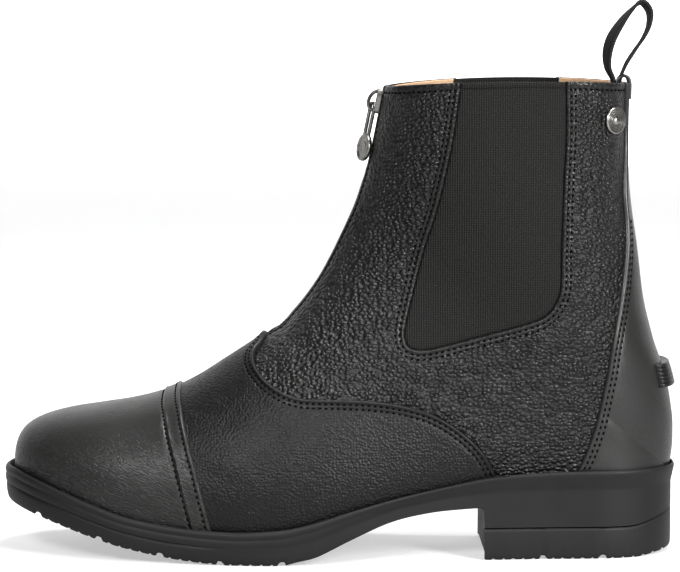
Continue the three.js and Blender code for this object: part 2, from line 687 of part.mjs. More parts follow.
// Slider and pull are drawn upright with their front to -X, then leant to the ridge
const sliderPlace = ridgeAt(zAt(SECTIONS[LAST_SECTION].top) - SLIDER_DROP);
const plateBack = -GAP;
const plateFront = plateBack - SLIDER_PLATE;
const tunnel = 2 * (PIVOT_RADIUS + PIVOT_CLEARANCE);
const pivotX = plateFront - PIVOT_RADIUS - PIVOT_CLEARANCE;
const pivotZ = -SLIDER_LENGTH / 2 + BAIL_WIRE + tunnel / 2 + 1;

function box([x0, x1], [y0, y1], [z0, z1]) {
  const geometry = new THREE.BoxGeometry(x1 - x0, y1 - y0, z1 - z0);
  geometry.translate((x0 + x1) / 2, (y0 + y1) / 2, (z0 + z1) / 2);
  return solidOf(geometry);
}

function sliderSolid() {
  const w = SLIDER_WIDTH / 2, l = SLIDER_LENGTH / 2;
  const plateShape = new THREE.Shape([
    new THREE.Vector2(-w, l), new THREE.Vector2(-w, 0.5), new THREE.Vector2(-w * SLIDER_WAIST, -l),
    new THREE.Vector2(w * SLIDER_WAIST, -l), new THREE.Vector2(w, 0.5), new THREE.Vector2(w, l),
  ]);
  const plate = new THREE.ExtrudeGeometry(plateShape, { depth: SLIDER_PLATE, bevelEnabled: false });
  plate.rotateX(Math.PI / 2);
  plate.rotateZ(-Math.PI / 2);
  plate.translate(plateBack, 0, 0);
  const body = solidOf(plate);
  const top = l - BAIL_TOP, foot = -l + BAIL_FOOT;
  const reach = plateFront - tunnel - BAIL_WIRE;
  const outer = [[plateFront + 0.2, foot], [reach, foot + BAIL_SLANT], [reach, 1.5], [plateFront + 0.2, top]];
  const inner = [
    [plateFront, foot + BAIL_WIRE + 0.4],
    [reach + BAIL_WIRE, foot + BAIL_WIRE + 1],
    [reach + BAIL_WIRE, 1],
    [plateFront, top - BAIL_WIRE - 1.6],
  ];
  const bail = sidePrism(outer, -BAIL_WIDTH / 2, BAIL_WIDTH / 2)
    .subtract(sidePrism(inner, -BAIL_WIDTH, BAIL_WIDTH));
  return body.add(bail);
}

// The pull hangs from its bar: two arms, then a round end
function pullSolid() {
  const armY = BAIL_WIDTH / 2 + GAP + PULL_WIRE / 2;
  const bar = new THREE.CylinderGeometry(PIVOT_RADIUS, PIVOT_RADIUS, 2 * armY + PULL_WIRE, 10);
  let body = solidOf(bar);
  const discTop = -PULL_LINK;
  const half = PULL_WIRE / 2;
  for (const y of [-armY, armY])
    body = body.add(box([-half, half], [y - half, y + half], [discTop - 1, 0]));
  const disc = new THREE.CylinderGeometry(PULL_DISC / 2, PULL_DISC / 2, PULL_THICKNESS, 20);
  disc.rotateZ(Math.PI / 2);
  disc.translate(0, 0, discTop - PULL_DISC / 2 + 0.6);
  return body.add(solidOf(disc));
}

// Stud on the outer quarter near the back of the collar
function placeOn(s, k, offset) {
  const point = lastPoint(s, k), normal = lastNormal(s, k);
  return { position: point.addScaledVector(normal, offset), normal };
}
const studPlace = placeOn(30.25, -0.84, GAP + STUD_THICKNESS / 2);
const studGeometry = new THREE.CylinderGeometry(
  STUD_DIAMETER / 2 - 0.4, STUD_DIAMETER / 2, STUD_THICKNESS, 24,
);

// Pull loop: a tape sewn inside the back of the collar, standing up in a leaning loop
const backTop = lastPoint(LAST_SECTION, 1);
const LOOP_PATH = [
  [0, 0], [-0.07, 0.16], [-0.08, 0.33], [-0.03, 0.52], [0.08, 0.7], [0.21, 0.86],
  [0.36, 0.975], [0.46, 0.87], [0.46, 0.7], [0.39, 0.54], [0.27, 0.37], [0.16, 0.2], [0.08, 0],
];
function loopSolid() {
  const x = backTop.x - WALL - 3 * GAP - 2 * LOOP_TAPE;
  const path = LOOP_PATH.map(([a, b]) => new THREE.Vector3(
    x + LOOP_TAPE / 2 + a * LOOP_HEIGHT, 0, COLLAR_HEIGHT + b * LOOP_HEIGHT,
  ));
  const curve = new THREE.CatmullRomCurve3(path, false, "centripetal");
  const centre = curve.getPoints(26).map((p) => [p.x, p.z]);
  const outside = moved(centre, LOOP_TAPE / 2), inside = moved(centre, -LOOP_TAPE / 2);
  const foot = COLLAR_HEIGHT - LOOP_TAIL;
  const back = x + 2 * LOOP_TAPE;
  const tail = [[back, COLLAR_HEIGHT], [back, foot], [x, foot], [x, COLLAR_HEIGHT]];
  const full = sidePrism([...outside, ...tail], -LOOP_WIDTH / 2, LOOP_WIDTH / 2);
  return full.subtract(sidePrism(inside, -LOOP_WIDTH, LOOP_WIDTH));
}

// Spur rest: a short ledge across the back of the heel
function spurRest() {
  const low = zAt(0.79), high = low + SPUR_HEIGHT;
  const form = band(GAP * 2 + PANEL_THICKNESS + SPUR_DEPTH, GAP * 2 + PANEL_THICKNESS);
  const outline = [[xAt(0.9), low], [farHeel, low + 1], [farHeel, high - 1], [xAt(0.9), high]];
  return form.intersect(sidePrism(outline, -SPUR_WIDTH / 2, SPUR_WIDTH / 2));
}

function material(color, roughness, metalness) {
  return new THREE.MeshStandardMaterial({ color, roughness, metalness });
}
const grained = material(0x232221, 0.5, 0);
const smooth = material(0x262625, 0.35, 0);
const elastic = material(0x1d1c1b, 0.9, 0);
const rubber = material(0x2b2b2a, 0.65, 0);
const lining = material(0xc29a78, 0.8, 0);
const cloth = material(0x1a1a1a, 0.85, 0);
const metal = material(0xb9b7b2, 0.3, 1);

const boot = new THREE.Group();
function add(parent, name, body, look) {
  const mesh = new THREE.Mesh(body.isBufferGeometry ? body : geometryOf(body), look);
  mesh.name = name;
  parent.add(mesh);
  return mesh;
}

add(boot, "outsole", outsole, rubber);
add(boot, "heel_top_piece", heelLift, rubber);
add(boot, "insole", insole, lining);
add(boot, "upper", upper, grained);
add(boot, "vamp", vamp, smooth);
add(boot, "toe_cap", toeCap, smooth);
add(boot, "back_panel", backPanel, smooth);
add(boot, "gusset_outer", gussetOf(-farSide, 0), elastic);
add(boot, "gusset_inner", gussetOf(0, farSide), elastic);
add(boot, "zip", zip, cloth);
add(boot, "pull_loop", loopSolid(), cloth);
add(boot, "spur_rest", spurRest(), smooth);

const stud = add(boot, "stud", studGeometry, metal);
stud.position.copy(studPlace.position);
stud.quaternion.setFromUnitVectors(new THREE.Vector3(0, 1, 0), studPlace.normal);

const slider = new THREE.Group();
slider.position.set(sliderPlace.x, 0, sliderPlace.z);
slider.rotation.y = sliderPlace.tilt;
boot.add(slider);
add(slider, "zip_slider", sliderSolid(), metal);
const pull = add(slider, "zip_pull", pullSolid(), metal);
pull.position.set(pivotX, 0, pivotZ);

export default boot;
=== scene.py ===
# Looks of a jodhpur boot for the left foot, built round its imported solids.
# Sizes are millimetres in the solids' frame until a mesh is made, which is in metres.
import json
import math

import bpy
import numpy as np
from mathutils import Matrix, Vector, kdtree

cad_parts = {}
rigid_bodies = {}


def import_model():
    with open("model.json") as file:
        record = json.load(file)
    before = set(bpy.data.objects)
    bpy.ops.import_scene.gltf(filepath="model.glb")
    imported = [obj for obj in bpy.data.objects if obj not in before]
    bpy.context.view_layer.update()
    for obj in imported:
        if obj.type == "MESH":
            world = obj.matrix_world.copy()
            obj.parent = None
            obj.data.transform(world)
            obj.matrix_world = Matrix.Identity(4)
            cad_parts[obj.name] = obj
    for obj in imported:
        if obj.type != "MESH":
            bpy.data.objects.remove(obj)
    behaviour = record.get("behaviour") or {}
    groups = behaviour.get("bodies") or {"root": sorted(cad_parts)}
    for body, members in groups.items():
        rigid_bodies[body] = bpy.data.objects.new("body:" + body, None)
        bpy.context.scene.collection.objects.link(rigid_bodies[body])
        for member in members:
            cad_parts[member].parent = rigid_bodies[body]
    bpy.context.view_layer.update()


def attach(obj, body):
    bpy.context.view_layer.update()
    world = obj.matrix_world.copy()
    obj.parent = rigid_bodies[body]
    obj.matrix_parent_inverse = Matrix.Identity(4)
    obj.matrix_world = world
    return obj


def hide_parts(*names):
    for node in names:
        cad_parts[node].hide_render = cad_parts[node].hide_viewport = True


for default in list(bpy.data.objects):
    bpy.data.objects.remove(default)
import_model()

MM = 0.001

# Driving sizes of the last and the sole, as in the solids
LAST_LENGTH = 281
BALL_WIDTH = 94
COLLAR_WIDTH = 71
THROAT_HEIGHT = 90
COLLAR_HEIGHT = 202
TOE_SWING = 7
FORE_THICKNESS = 14.2
TOE_RISE = 21.8
HEEL_RISE = 23.5
TOE_SPRING = 21.5
ARCH_HEIGHT = 22.3
TOE_LEDGE = 5.8
BALL_LEDGE = 5.2
HEEL_LEDGE = 3.6
LIP_HEIGHT = 3
SEAT_GAP = 0.7
HEEL_LIFT = 13.4
HEEL_LIFT_BACK = 21.2
HEEL_INSET = 1.4
BREAST_CURVE = 4
BREAST = 0.714
HEEL_BEVEL = 2.5
GROOVE_RADIUS = 1.3
GROOVE_PITCH = 25.4
WALL = 2.2
INSOLE_THICKNESS = 3.5
GAP = 0.3

# Driving sizes of the trim, as in the solids
PULL_LINK = 13.4
PULL_DISC = 12
STUD_DIAMETER = 11.4
LOOP_TAPE = 1.5
LOOP_WIDTH = 9
LOOP_HEIGHT = 33
LOOP_REACH = 34.6
LOOP_TAIL = 20
SPUR_HEIGHT = 9.5
SPUR_DEPTH = 3.2
SPUR_WIDTH = 34
SLIDER_DROP = 6.8
SLIDER_LENGTH = 10.5
SLIDER_WIDTH = 8


def table(names, rows):
    """A table with named columns, each column an array."""
    return {name: np.array(values, float) for name, values in zip(names.split(), zip(*rows))}


# The sole's line and the last's outline, as shares of the driving sizes
SOLE_LINE = table("along toe heel spring arch", [
    [0.0, 1.0, 0, 1.0, 0],
    [0.04, 0.84, 0, 0.83, 0],
    [0.08, 0.66, 0, 0.66, 0],
    [0.125, 0.45, 0, 0.47, 0],
    [0.17, 0.26, 0, 0.3, 0],
    [0.22, 0.13, 0, 0.16, 0],
    [0.27, 0.05, 0, 0.06, 0],
    [0.325, 0, 0, 0, 0],
    [0.36, 0, 0, 0, 0],
    [0.41, 0, 0.04, 0, 0],
    [0.432, 0, 0.085, 0, 0.065],
    [0.46, 0, 0.165, 0, 0.15],
    [0.51, 0, 0.34, 0, 0.45],
    [0.57, 0, 0.53, 0, 0.77],
    [0.63, 0, 0.69, 0, 0.93],
    [0.69, 0, 0.835, 0, 0.99],
    [0.73, 0, 0.915, 0, 1],
    [0.81, 0, 0.98, 0, 1],
    [0.88, 0, 1, 0, 1],
    [1.0, 0, 1, 0, 1],
])
OUTLINE = table("along half swing", [
    [0.0, 0.88, 1.0],
    [0.1, 0.9, 0.86],
    [0.2, 0.955, 0.56],
    [0.3, 1.0, 0.17],
    [0.37, 1.0, -0.2],
    [0.45, 0.93, -0.56],
    [0.52, 0.84, -0.72],
    [0.6, 0.745, -0.7],
    [0.7, 0.676, -0.5],
    [0.8, 0.655, -0.24],
    [0.9, 0.651, -0.06],
    [1.0, 0.651, 0],
])
TOE_ROUND = (0.2, 2.15)
HEEL_ROUND = (0.12, 2.1)

# The last's sections from the toe round the heel to the collar, as in the solids
SECTIONS = table("along top base rise ball shaft widest crown side lean", [
    [0.0, 0.4, 0.0, 0, 0.93, 0, 0.3, 2.2, 2.4, 1.0],
    [0.001, 0.461, 0.0015, 0, 0.93, 0, 0.3, 2.2, 2.4, 1.0],
    [0.005, 0.513, 0.0058, 0, 0.93, 0, 0.3, 2.2, 2.4, 0.99],
    [0.013, 0.556, 0.0145, 0, 0.93, 0, 0.3, 2.2, 2.4, 0.98],
    [0.028, 0.592, 0.03, 0, 0.93, 0, 0.3, 2.2, 2.4, 0.96],
    [0.052, 0.622, 0.053, 0, 0.94, 0, 0.3, 2.25, 2.4, 0.92],
    [0.087, 0.648, 0.086, 0, 0.95, 0, 0.3, 2.3, 2.4, 0.86],
    [0.133, 0.67, 0.128, 0, 0.97, 0, 0.3, 2.3, 2.4, 0.78],
    [0.185, 0.698, 0.175, 0, 0.995, 0, 0.28, 2.2, 2.4, 0.66],
    [0.235, 0.744, 0.222, 0, 1.02, 0, 0.26, 2.1, 2.4, 0.5],
    [0.281, 0.815, 0.268, 0, 1.04, 0, 0.24, 2.0, 2.4, 0.34],
    [0.324, 0.902, 0.318, 0, 1.045, 0, 0.22, 1.9, 2.4, 0.2],
    [0.365, 0.985, 0.372, 0, 1.035, 0, 0.2, 1.85, 2.4, 0.08],
    [0.404, 1.062, 0.441, 0, 0.99, 0, 0.2, 1.8, 2.4, 0],
    [0.434, 1.143, 0.523, 0, 0.72, 0.25, 0.2, 1.8, 2.4, 0],
    [0.461, 1.237, 0.616, 0, 0.44, 0.5, 0.22, 1.85, 2.4, 0],
    [0.48, 1.321, 0.708, 0, 0.2, 0.75, 0.26, 1.9, 2.4, 0],
    [0.495, 1.397, 0.797, 0, 0, 0.98, 0.3, 1.95, 2.4, 0],
    [0.5075, 1.464, 0.879, 0, 0, 0.967, 0.34, 2.0, 2.35, 0],
    [0.517, 1.518, 0.9395, 0, 0, 0.964, 0.38, 2.0, 2.3, 0],
    [0.523, 1.558, 0.9786, 0, 0, 0.966, 0.4, 2.05, 2.3, 0],
    [0.527, 1.589, 0.9964, 0, 0, 0.968, 0.42, 2.05, 2.25, 0],
    [0.53, 1.612, 1.0, 0, 0, 0.97, 0.43, 2.05, 2.25, 0],
    [0.534, 1.641, 1.005, 0.53, 0, 0.974, 0.44, 2.1, 2.25, 0],
    [0.538, 1.679, 1.002, 0.69, 0, 0.98, 0.45, 2.1, 2.25, 0],
    [0.5423, 1.723, 0.992, 0.845, 0, 0.986, 0.46, 2.1, 2.3, 0],
    [0.5466, 1.77, 0.9737, 1.01, 0, 0.992, 0.47, 2.1, 2.35, 0],
    [0.551, 1.821, 0.958, 1.17, 0, 0.996, 0.48, 2.1, 2.4, 0],
    [0.555, 1.87, 0.948, 1.365, 0, 1, 0.49, 2.1, 2.5, 0],
    [0.559, 1.92, 0.936, 1.58, 0, 1, 0.5, 2.1, 2.55, 0],
    [0.562, 1.955, 0.9325, 1.79, 0, 1, 0.5, 2.1, 2.6, 0],
    [0.565, 1.982, 0.9345, 1.995, 0, 1, 0.5, 2.1, 2.6, 0],
])
LAST_SECTION = len(SECTIONS["along"]) - 1
CLOSED_FROM = int(np.argmax(SECTIONS["base"] == 1))
CROWN_SHARE = 0.55
COLLAR_CREST = 2.2
CREST_SECTIONS = 2

# Panel edges in the side view, as [along, level] from top to bottom
VAMP_EDGE = [
    [0.3915, 1.05], [0.379, 1.0], [0.3685, 0.955], [0.3695, 0.908], [0.3805, 0.858],
    [0.394, 0.822], [0.415, 0.788], [0.438, 0.768], [0.498, 0.763], [0.542, 0.757],
    [0.587, 0.739], [0.632, 0.701], [0.662, 0.653], [0.692, 0.583], [0.715, 0.507],
    [0.733, 0.4], [0.747, 0.22],
]
CAP_EDGE = [
    [0.2555, 0.9], [0.2555, 0.8], [0.256, 0.74], [0.26, 0.692], [0.2655, 0.617],
    [0.277, 0.493], [0.289, 0.355], [0.299, 0.24], [0.307, 0.14], [0.313, 0.03],
]
PANEL_EDGE = [
    [0.9305, 2.1], [0.9305, 1.75], [0.928, 1.58], [0.931, 1.45], [0.9308, 1.39],
    [0.9283, 1.32], [0.9214, 1.193], [0.911, 1.058], [0.905, 0.978], [0.9005, 0.883],
    [0.8937, 0.783], [0.8837, 0.642], [0.8707, 0.52], [0.8577, 0.428], [0.835, 0.28],
]
GUSSET_EDGE = [
    [0.681, 2.1], [0.678, 2.0], [0.6655, 1.774], [0.6525, 1.62], [0.64, 1.495],
    [0.626, 1.39], [0.609, 1.22], [0.5995, 1.12], [0.595, 1.055], [0.6, 1.007],
    [0.613, 0.992], [0.63, 0.994], [0.6755, 1.022], [0.724, 1.055], [0.773, 1.088],
    [0.805, 1.12], [0.822, 1.17], [0.829, 1.22], [0.8305, 1.36], [0.8335, 1.6],
    [0.837, 1.8], [0.836, 2.0], [0.834, 2.1],
]

# Leather and seams
LEATHER = 1.2
LINING = 0.9
ZIP_HALF = 3.5
VAMP_HEIGHT = 1.35
CAP_HEIGHT = 2.2
PANEL_HEIGHT = 1.45
FOLD = 1.1
UNDERLAP = 6
STITCH_ROWS = (2.2, 4.1)
STITCH_PITCH = 2.6
STITCH_LENGTH = 1.7
STITCH_RADIUS = 0.48
TROUGH = 0.2

# Fineness of the leather mesh
ROW_STEP = 2.3
HALF_COLUMNS = 66
EPSILON = 1e-3


def hermite(p, q, m, n, u):
    v, w = u * u, u * u * u
    return (2 * w - 3 * v + 1) * p + (w - 2 * v + u) * m + (3 * v - 2 * w) * q + (w - v) * n


def column(rows, name, at):
    """Smooth curve through one column of a table whose first column is along."""
    at = np.asarray(at, float)
    along, values = rows["along"], rows[name]
    last = len(along) - 1
    i = np.clip(np.searchsorted(along, at, side="left") - 1, 0, last - 1)
    low = np.maximum(np.arange(last + 1) - 1, 0)
    high = np.minimum(np.arange(last + 1) + 1, last)
    slope = (values[high] - values[low]) / (along[high] - along[low])
    span = along[i + 1] - along[i]
    u = np.clip((at - along[i]) / span, 0, 1)
    return hermite(values[i], values[i + 1], slope[i] * span, slope[i + 1] * span, u)


def section_value(name, s):
    values = SECTIONS[name]
    i = np.minimum(LAST_SECTION - 1, np.floor(s).astype(int))
    at = lambda j: values[np.clip(j, 0, LAST_SECTION)]
    slope_low, slope_high = (at(i + 1) - at(i - 1)) / 2, (at(i + 2) - at(i)) / 2
    return hermite(at(i), at(i + 1), slope_low, slope_high, s - i)


SOLE_LENGTH = LAST_LENGTH + TOE_LEDGE + HEEL_LEDGE


def x_at(along):
    return along * LAST_LENGTH + TOE_LEDGE - SOLE_LENGTH / 2


def along_at(x):
    return (x - TOE_LEDGE + SOLE_LENGTH / 2) / LAST_LENGTH


def z_at(level):
    above = THROAT_HEIGHT + (level - 1) * (COLLAR_HEIGHT - THROAT_HEIGHT)
    return np.where(level <= 1, level * THROAT_HEIGHT, above)


def rim_height(along):
    toe, heel = column(SOLE_LINE, "toe", along), column(SOLE_LINE, "heel", along)
    return FORE_THICKNESS + TOE_RISE * toe + HEEL_RISE * heel


def seat_height(along):
    return rim_height(along) - LIP_HEIGHT


def under_height(along):
    spring, arch = column(SOLE_LINE, "spring", along), column(SOLE_LINE, "arch", along)
    return np.maximum(0, TOE_SPRING * spring + ARCH_HEIGHT * arch)


def round_end(distance, span, power):
    u = np.clip(1 - np.maximum(0, distance) / span, 0, 1)
    return np.maximum(0, 1 - u ** power) ** (1 / power)


def toe_round(along):
    return round_end(along, *TOE_ROUND)


def heel_round(along):
    return round_end(1 - along, *HEEL_ROUND)


def half_width(along):
    share = column(OUTLINE, "half", along) * toe_round(along) * heel_round(along)
    return BALL_WIDTH / 2 * share


def middle(along):
    return TOE_SWING * column(OUTLINE, "swing", along)


def smooth_step(value, low, high):
    u = np.clip((value - low) / (high - low), 0, 1)
    return u * u * (3 - 2 * u)


def back_height(s):
    """Height of the back where a closed section meets it."""
    seat = seat_height(1) + SEAT_GAP
    rises = z_at(SECTIONS["rise"][CLOSED_FROM + 1:CLOSED_FROM + 3])
    first = rises[0]
    u = np.clip(s - CLOSED_FROM, 0, 1)
    start = hermite(seat, first, (first - seat) * 0.8, (rises[1] - seat) / 2, u)
    return np.where(s >= CLOSED_FROM + 1, z_at(section_value("rise", s)), start)


def last_point(s, k):
    """A point of the last: s counts sections, k runs from the outer edge (-1) to the inner (1)."""
    s, k = np.broadcast_arrays(np.asarray(s, float), np.asarray(k, float))
    closed = s >= CLOSED_FROM
    base = section_value("base", s)
    top_x, top_z = x_at(section_value("along", s)), z_at(section_value("top", s))
    foot_x = x_at(base)
    foot_z = np.where(closed, back_height(s), seat_height(base) + SEAT_GAP)
    widest = section_value("widest", s)
    half = section_value("ball", s) * BALL_WIDTH / 2 + section_value("shaft", s) * COLLAR_WIDTH / 2
    half = half * toe_round(base)
    edge = np.where(closed, 0, np.minimum(half_width(base), half * 0.999))
    q = np.abs(k)
    crown, side = section_value("crown", s), section_value("side", s)
    angle = math.pi / 2 * np.clip(1 - q / CROWN_SHARE, 0, 1)
    upper_share = widest + (1 - widest) * np.sin(angle) ** (2 / crown)
    upper_y = np.maximum(0, np.cos(angle)) ** (2 / crown)
    ratio = edge / np.maximum(half, 1e-9)
    reach = (1 - ratio ** side) ** (1 / side)
    lower_turn = np.clip((q - CROWN_SHARE) / (1 - CROWN_SHARE), 0, 1)
    angle = np.arcsin(reach ** (side / 2)) * lower_turn
    lower_share = widest * (1 - np.sin(angle) ** (2 / side) / reach)
    lower_y = np.maximum(0, np.cos(angle)) ** (2 / side)
    share = np.where(q <= CROWN_SHARE, upper_share, lower_share)
    y = half * np.where(q <= CROWN_SHARE, upper_y, lower_y)
    centre = np.where(closed, 0, middle(base) * (1 - share))
    crest = COLLAR_CREST * np.maximum(0, 1 - (LAST_SECTION - s) / CREST_SECTIONS)
    return np.stack([
        foot_x + (top_x - foot_x) * share,
        centre + TOE_SWING * section_value("lean", s) * share + np.sign(k) * y,
        foot_z + (top_z - foot_z) * share + crest * (1 - (2 * share - 1) ** 2),
    ], -1)


def unit(v):
    return v / np.maximum(np.linalg.norm(v, axis=-1, keepdims=True), 1e-12)


def smooth_line(points, steps):
    """The solids' own smooth curve through points: centripetal, with equal steps of its parameter."""
    p = np.array(points, float)
    p = np.vstack([2 * p[0] - p[1], p, 2 * p[-1] - p[-2]])
    knots = np.sqrt(np.linalg.norm(np.diff(p, axis=0), axis=1))
    spans = len(p) - 3
    out = []
    for at in np.linspace(0, spans, steps + 1):
        i = min(int(at), spans - 1)
        a, b, c, d = p[i:i + 4]
        t0, t1, t2 = knots[i:i + 3]
        m = ((b - a) / t0 - (c - a) / (t0 + t1) + (c - b) / t1) * t1
        n = ((c - b) / t1 - (d - b) / (t1 + t2) + (d - c) / t2) * t1
        out.append(hermite(b, c, m, n, at - i))
    return np.array(out)


def side_line(edge, steps=90):
    return smooth_line([[x_at(a), float(z_at(np.float64(level)))] for a, level in edge], steps)


def line_distance(line, x, z):
    """Signed distance in the side view, positive to the left of the line, and the place along it."""
    p = np.stack([x.ravel(), z.ravel()], 1)
    a, b = line[:-1], line[1:]
    d = b - a
    length = np.linalg.norm(d, axis=1)
    start = np.concatenate([[0], np.cumsum(length)[:-1]])
    best = np.full(len(p), np.inf)
    sign, place = np.ones(len(p)), np.zeros(len(p))
    for i in range(len(a)):
        r = p - a[i]
        t = np.clip(r @ d[i] / length[i] ** 2, 0, 1)
        gap = np.linalg.norm(r - t[:, None] * d[i], axis=1)
        near = gap < best - 1e-9
        cross = d[i][0] * r[:, 1] - d[i][1] * r[:, 0]
        best = np.where(near, gap, best)
        sign = np.where(near, np.where(cross >= 0, 1, -1), sign)
        place = np.where(near, start[i] + t * length[i], place)
    return (best * sign).reshape(x.shape), place.reshape(x.shape)


def inside(polygon, x, z):
    """Which points of the side view lie in a polygon."""
    a, b = polygon, np.roll(polygon, -1, axis=0)
    odd = np.zeros(x.shape, bool)
    for (x0, z0), (x1, z1) in zip(a, b):
        if z0 == z1:
            continue
        crosses = (z > min(z0, z1)) & (z <= max(z0, z1))
        odd ^= crosses & (x < x0 + (z - z0) / (z1 - z0) * (x1 - x0))
    return odd


class Sheet:
    """Triangles on the last with named values at each point: its place, its outward direction
    and its distance from each seam."""

    def __init__(self, data, names, tris):
        self.data, self.names, self.tris = data, names, tris

    def get(self, name):
        return self.data[:, self.names.index(name)]

    def put(self, name, values):
        names = self.names + [name]
        return Sheet(np.column_stack([self.data, values]), names, self.tris)

    @property
    def points(self):
        return self.data[:, 0:3]

    @property
    def normals(self):
        return unit(self.data[:, 3:6])

    def split(self, name, level):
        """The same sheet with new edges where the named value has that level."""
        v = self.get(name) - level
        v = np.where(np.abs(v) < 1e-5, 1e-5, v)
        up = v > 0
        count = up[self.tris].sum(1)
        mixed = (count == 1) | (count == 2)
        if not mixed.any():
            return self
        t, u = self.tris[mixed], up[self.tris[mixed]]
        lone = np.where(count[mixed] == 1, np.argmax(u, 1), np.argmin(u, 1))
        rows = np.arange(len(t))
        a, b, c = (t[rows, (lone + j) % 3] for j in range(3))
        n = len(self.data)
        ends = np.stack([np.concatenate([a, a]), np.concatenate([b, c])], 1)
        ends.sort(axis=1)
        keys, place = np.unique(ends[:, 0] * n + ends[:, 1], return_inverse=True)
        low, high = keys // n, keys % n
        w = (v[low] / (v[low] - v[high]))[:, None]
        data = np.vstack([self.data, self.data[low] * (1 - w) + self.data[high] * w])
        ab, ac = n + place[:len(a)], n + place[len(a):]
        new = [np.stack([a, ab, ac], 1), np.stack([ab, b, c], 1), np.stack([ab, c, ac], 1)]
        return Sheet(data, self.names, np.vstack([self.tris[~mixed]] + new))

    def where(self, name, level, above=True):
        """The part of the sheet whose named value is above the level, or below it."""
        cut = self.split(name, level)
        middle_value = cut.get(name)[cut.tris].mean(1)
        keep = middle_value > level if above else middle_value < level
        used, place = np.unique(cut.tris[keep], return_inverse=True)
        return Sheet(cut.data[used], cut.names, place.reshape(-1, 3))

    def crossings(self, name, level):
        """The points where the named value has that level, one row of values each."""
        v = self.get(name) - level
        edges = np.vstack([self.tris[:, [0, 1]], self.tris[:, [1, 2]], self.tris[:, [2, 0]]])
        edges = np.unique(np.sort(edges, axis=1), axis=0)
        low, high = edges[:, 0], edges[:, 1]
        hit = (v[low] > 0) != (v[high] > 0)
        low, high = low[hit], high[hit]
        w = (v[low] / (v[low] - v[high]))[:, None]
        return self.data[low] * (1 - w) + self.data[high] * w


def relief(p):
    """Soft creases and hollows of the worn-in last, as height at each point."""
    height = np.zeros(len(p))
    for x, z, lean, length, width, depth in CREASES:
        across = (p[:, 0] - x) * -math.sin(lean) + (p[:, 2] - z) * math.cos(lean)
        forward = (p[:, 0] - x) * math.cos(lean) + (p[:, 2] - z) * math.sin(lean)
        fade = np.exp(-(forward / length) ** 2)
        height -= depth * fade * np.exp(-(across / width) ** 2)
        height += depth * 0.6 * fade * np.exp(-((across - 1.9 * width) / width) ** 2)
    return height


# Creases: place in the side view, lean, half length, half width and depth
CREASES = [
    (-24, 97, 2.3, 12, 3.2, 0.5),
    (-12, 88, 2.5, 16, 3.6, 0.4),
    (2, 96, 0.5, 20, 4.0, 0.35),
    (12, 84, 0.15, 26, 3.6, 0.35),
    (60, 78, 0.06, 30, 3.4, 0.35),
    (84, 88, -0.1, 22, 3.2, 0.4),
    (96, 72, 0.1, 20, 3.0, 0.3),
    (104, 104, -0.35, 12, 3.0, 0.45),
    (108, 122, -0.3, 10, 2.8, 0.35),
    (106, 150, -0.2, 9, 3.0, 0.3),
    (-60, 40, -0.4, 16, 3.5, 0.35),
    (-30, 52, 0.6, 16, 5.0, 0.4),
    (-96, 30, -0.32, 24, 2.2, 0.22),
    (-88, 24, -0.3, 20, 2.0, 0.2),
]


def grid_rows():
    rows = [0.0]
    for i in range(LAST_SECTION):
        k = np.array([-0.9, -0.5, 0, 0.5, 0.9])
        reach = np.linalg.norm(last_point(i + 1, k) - last_point(i, k), axis=1).max()
        steps = max(1, math.ceil(reach / ROW_STEP))
        rows += [i + (j + 1) / steps for j in range(steps)]
    return np.array(rows)


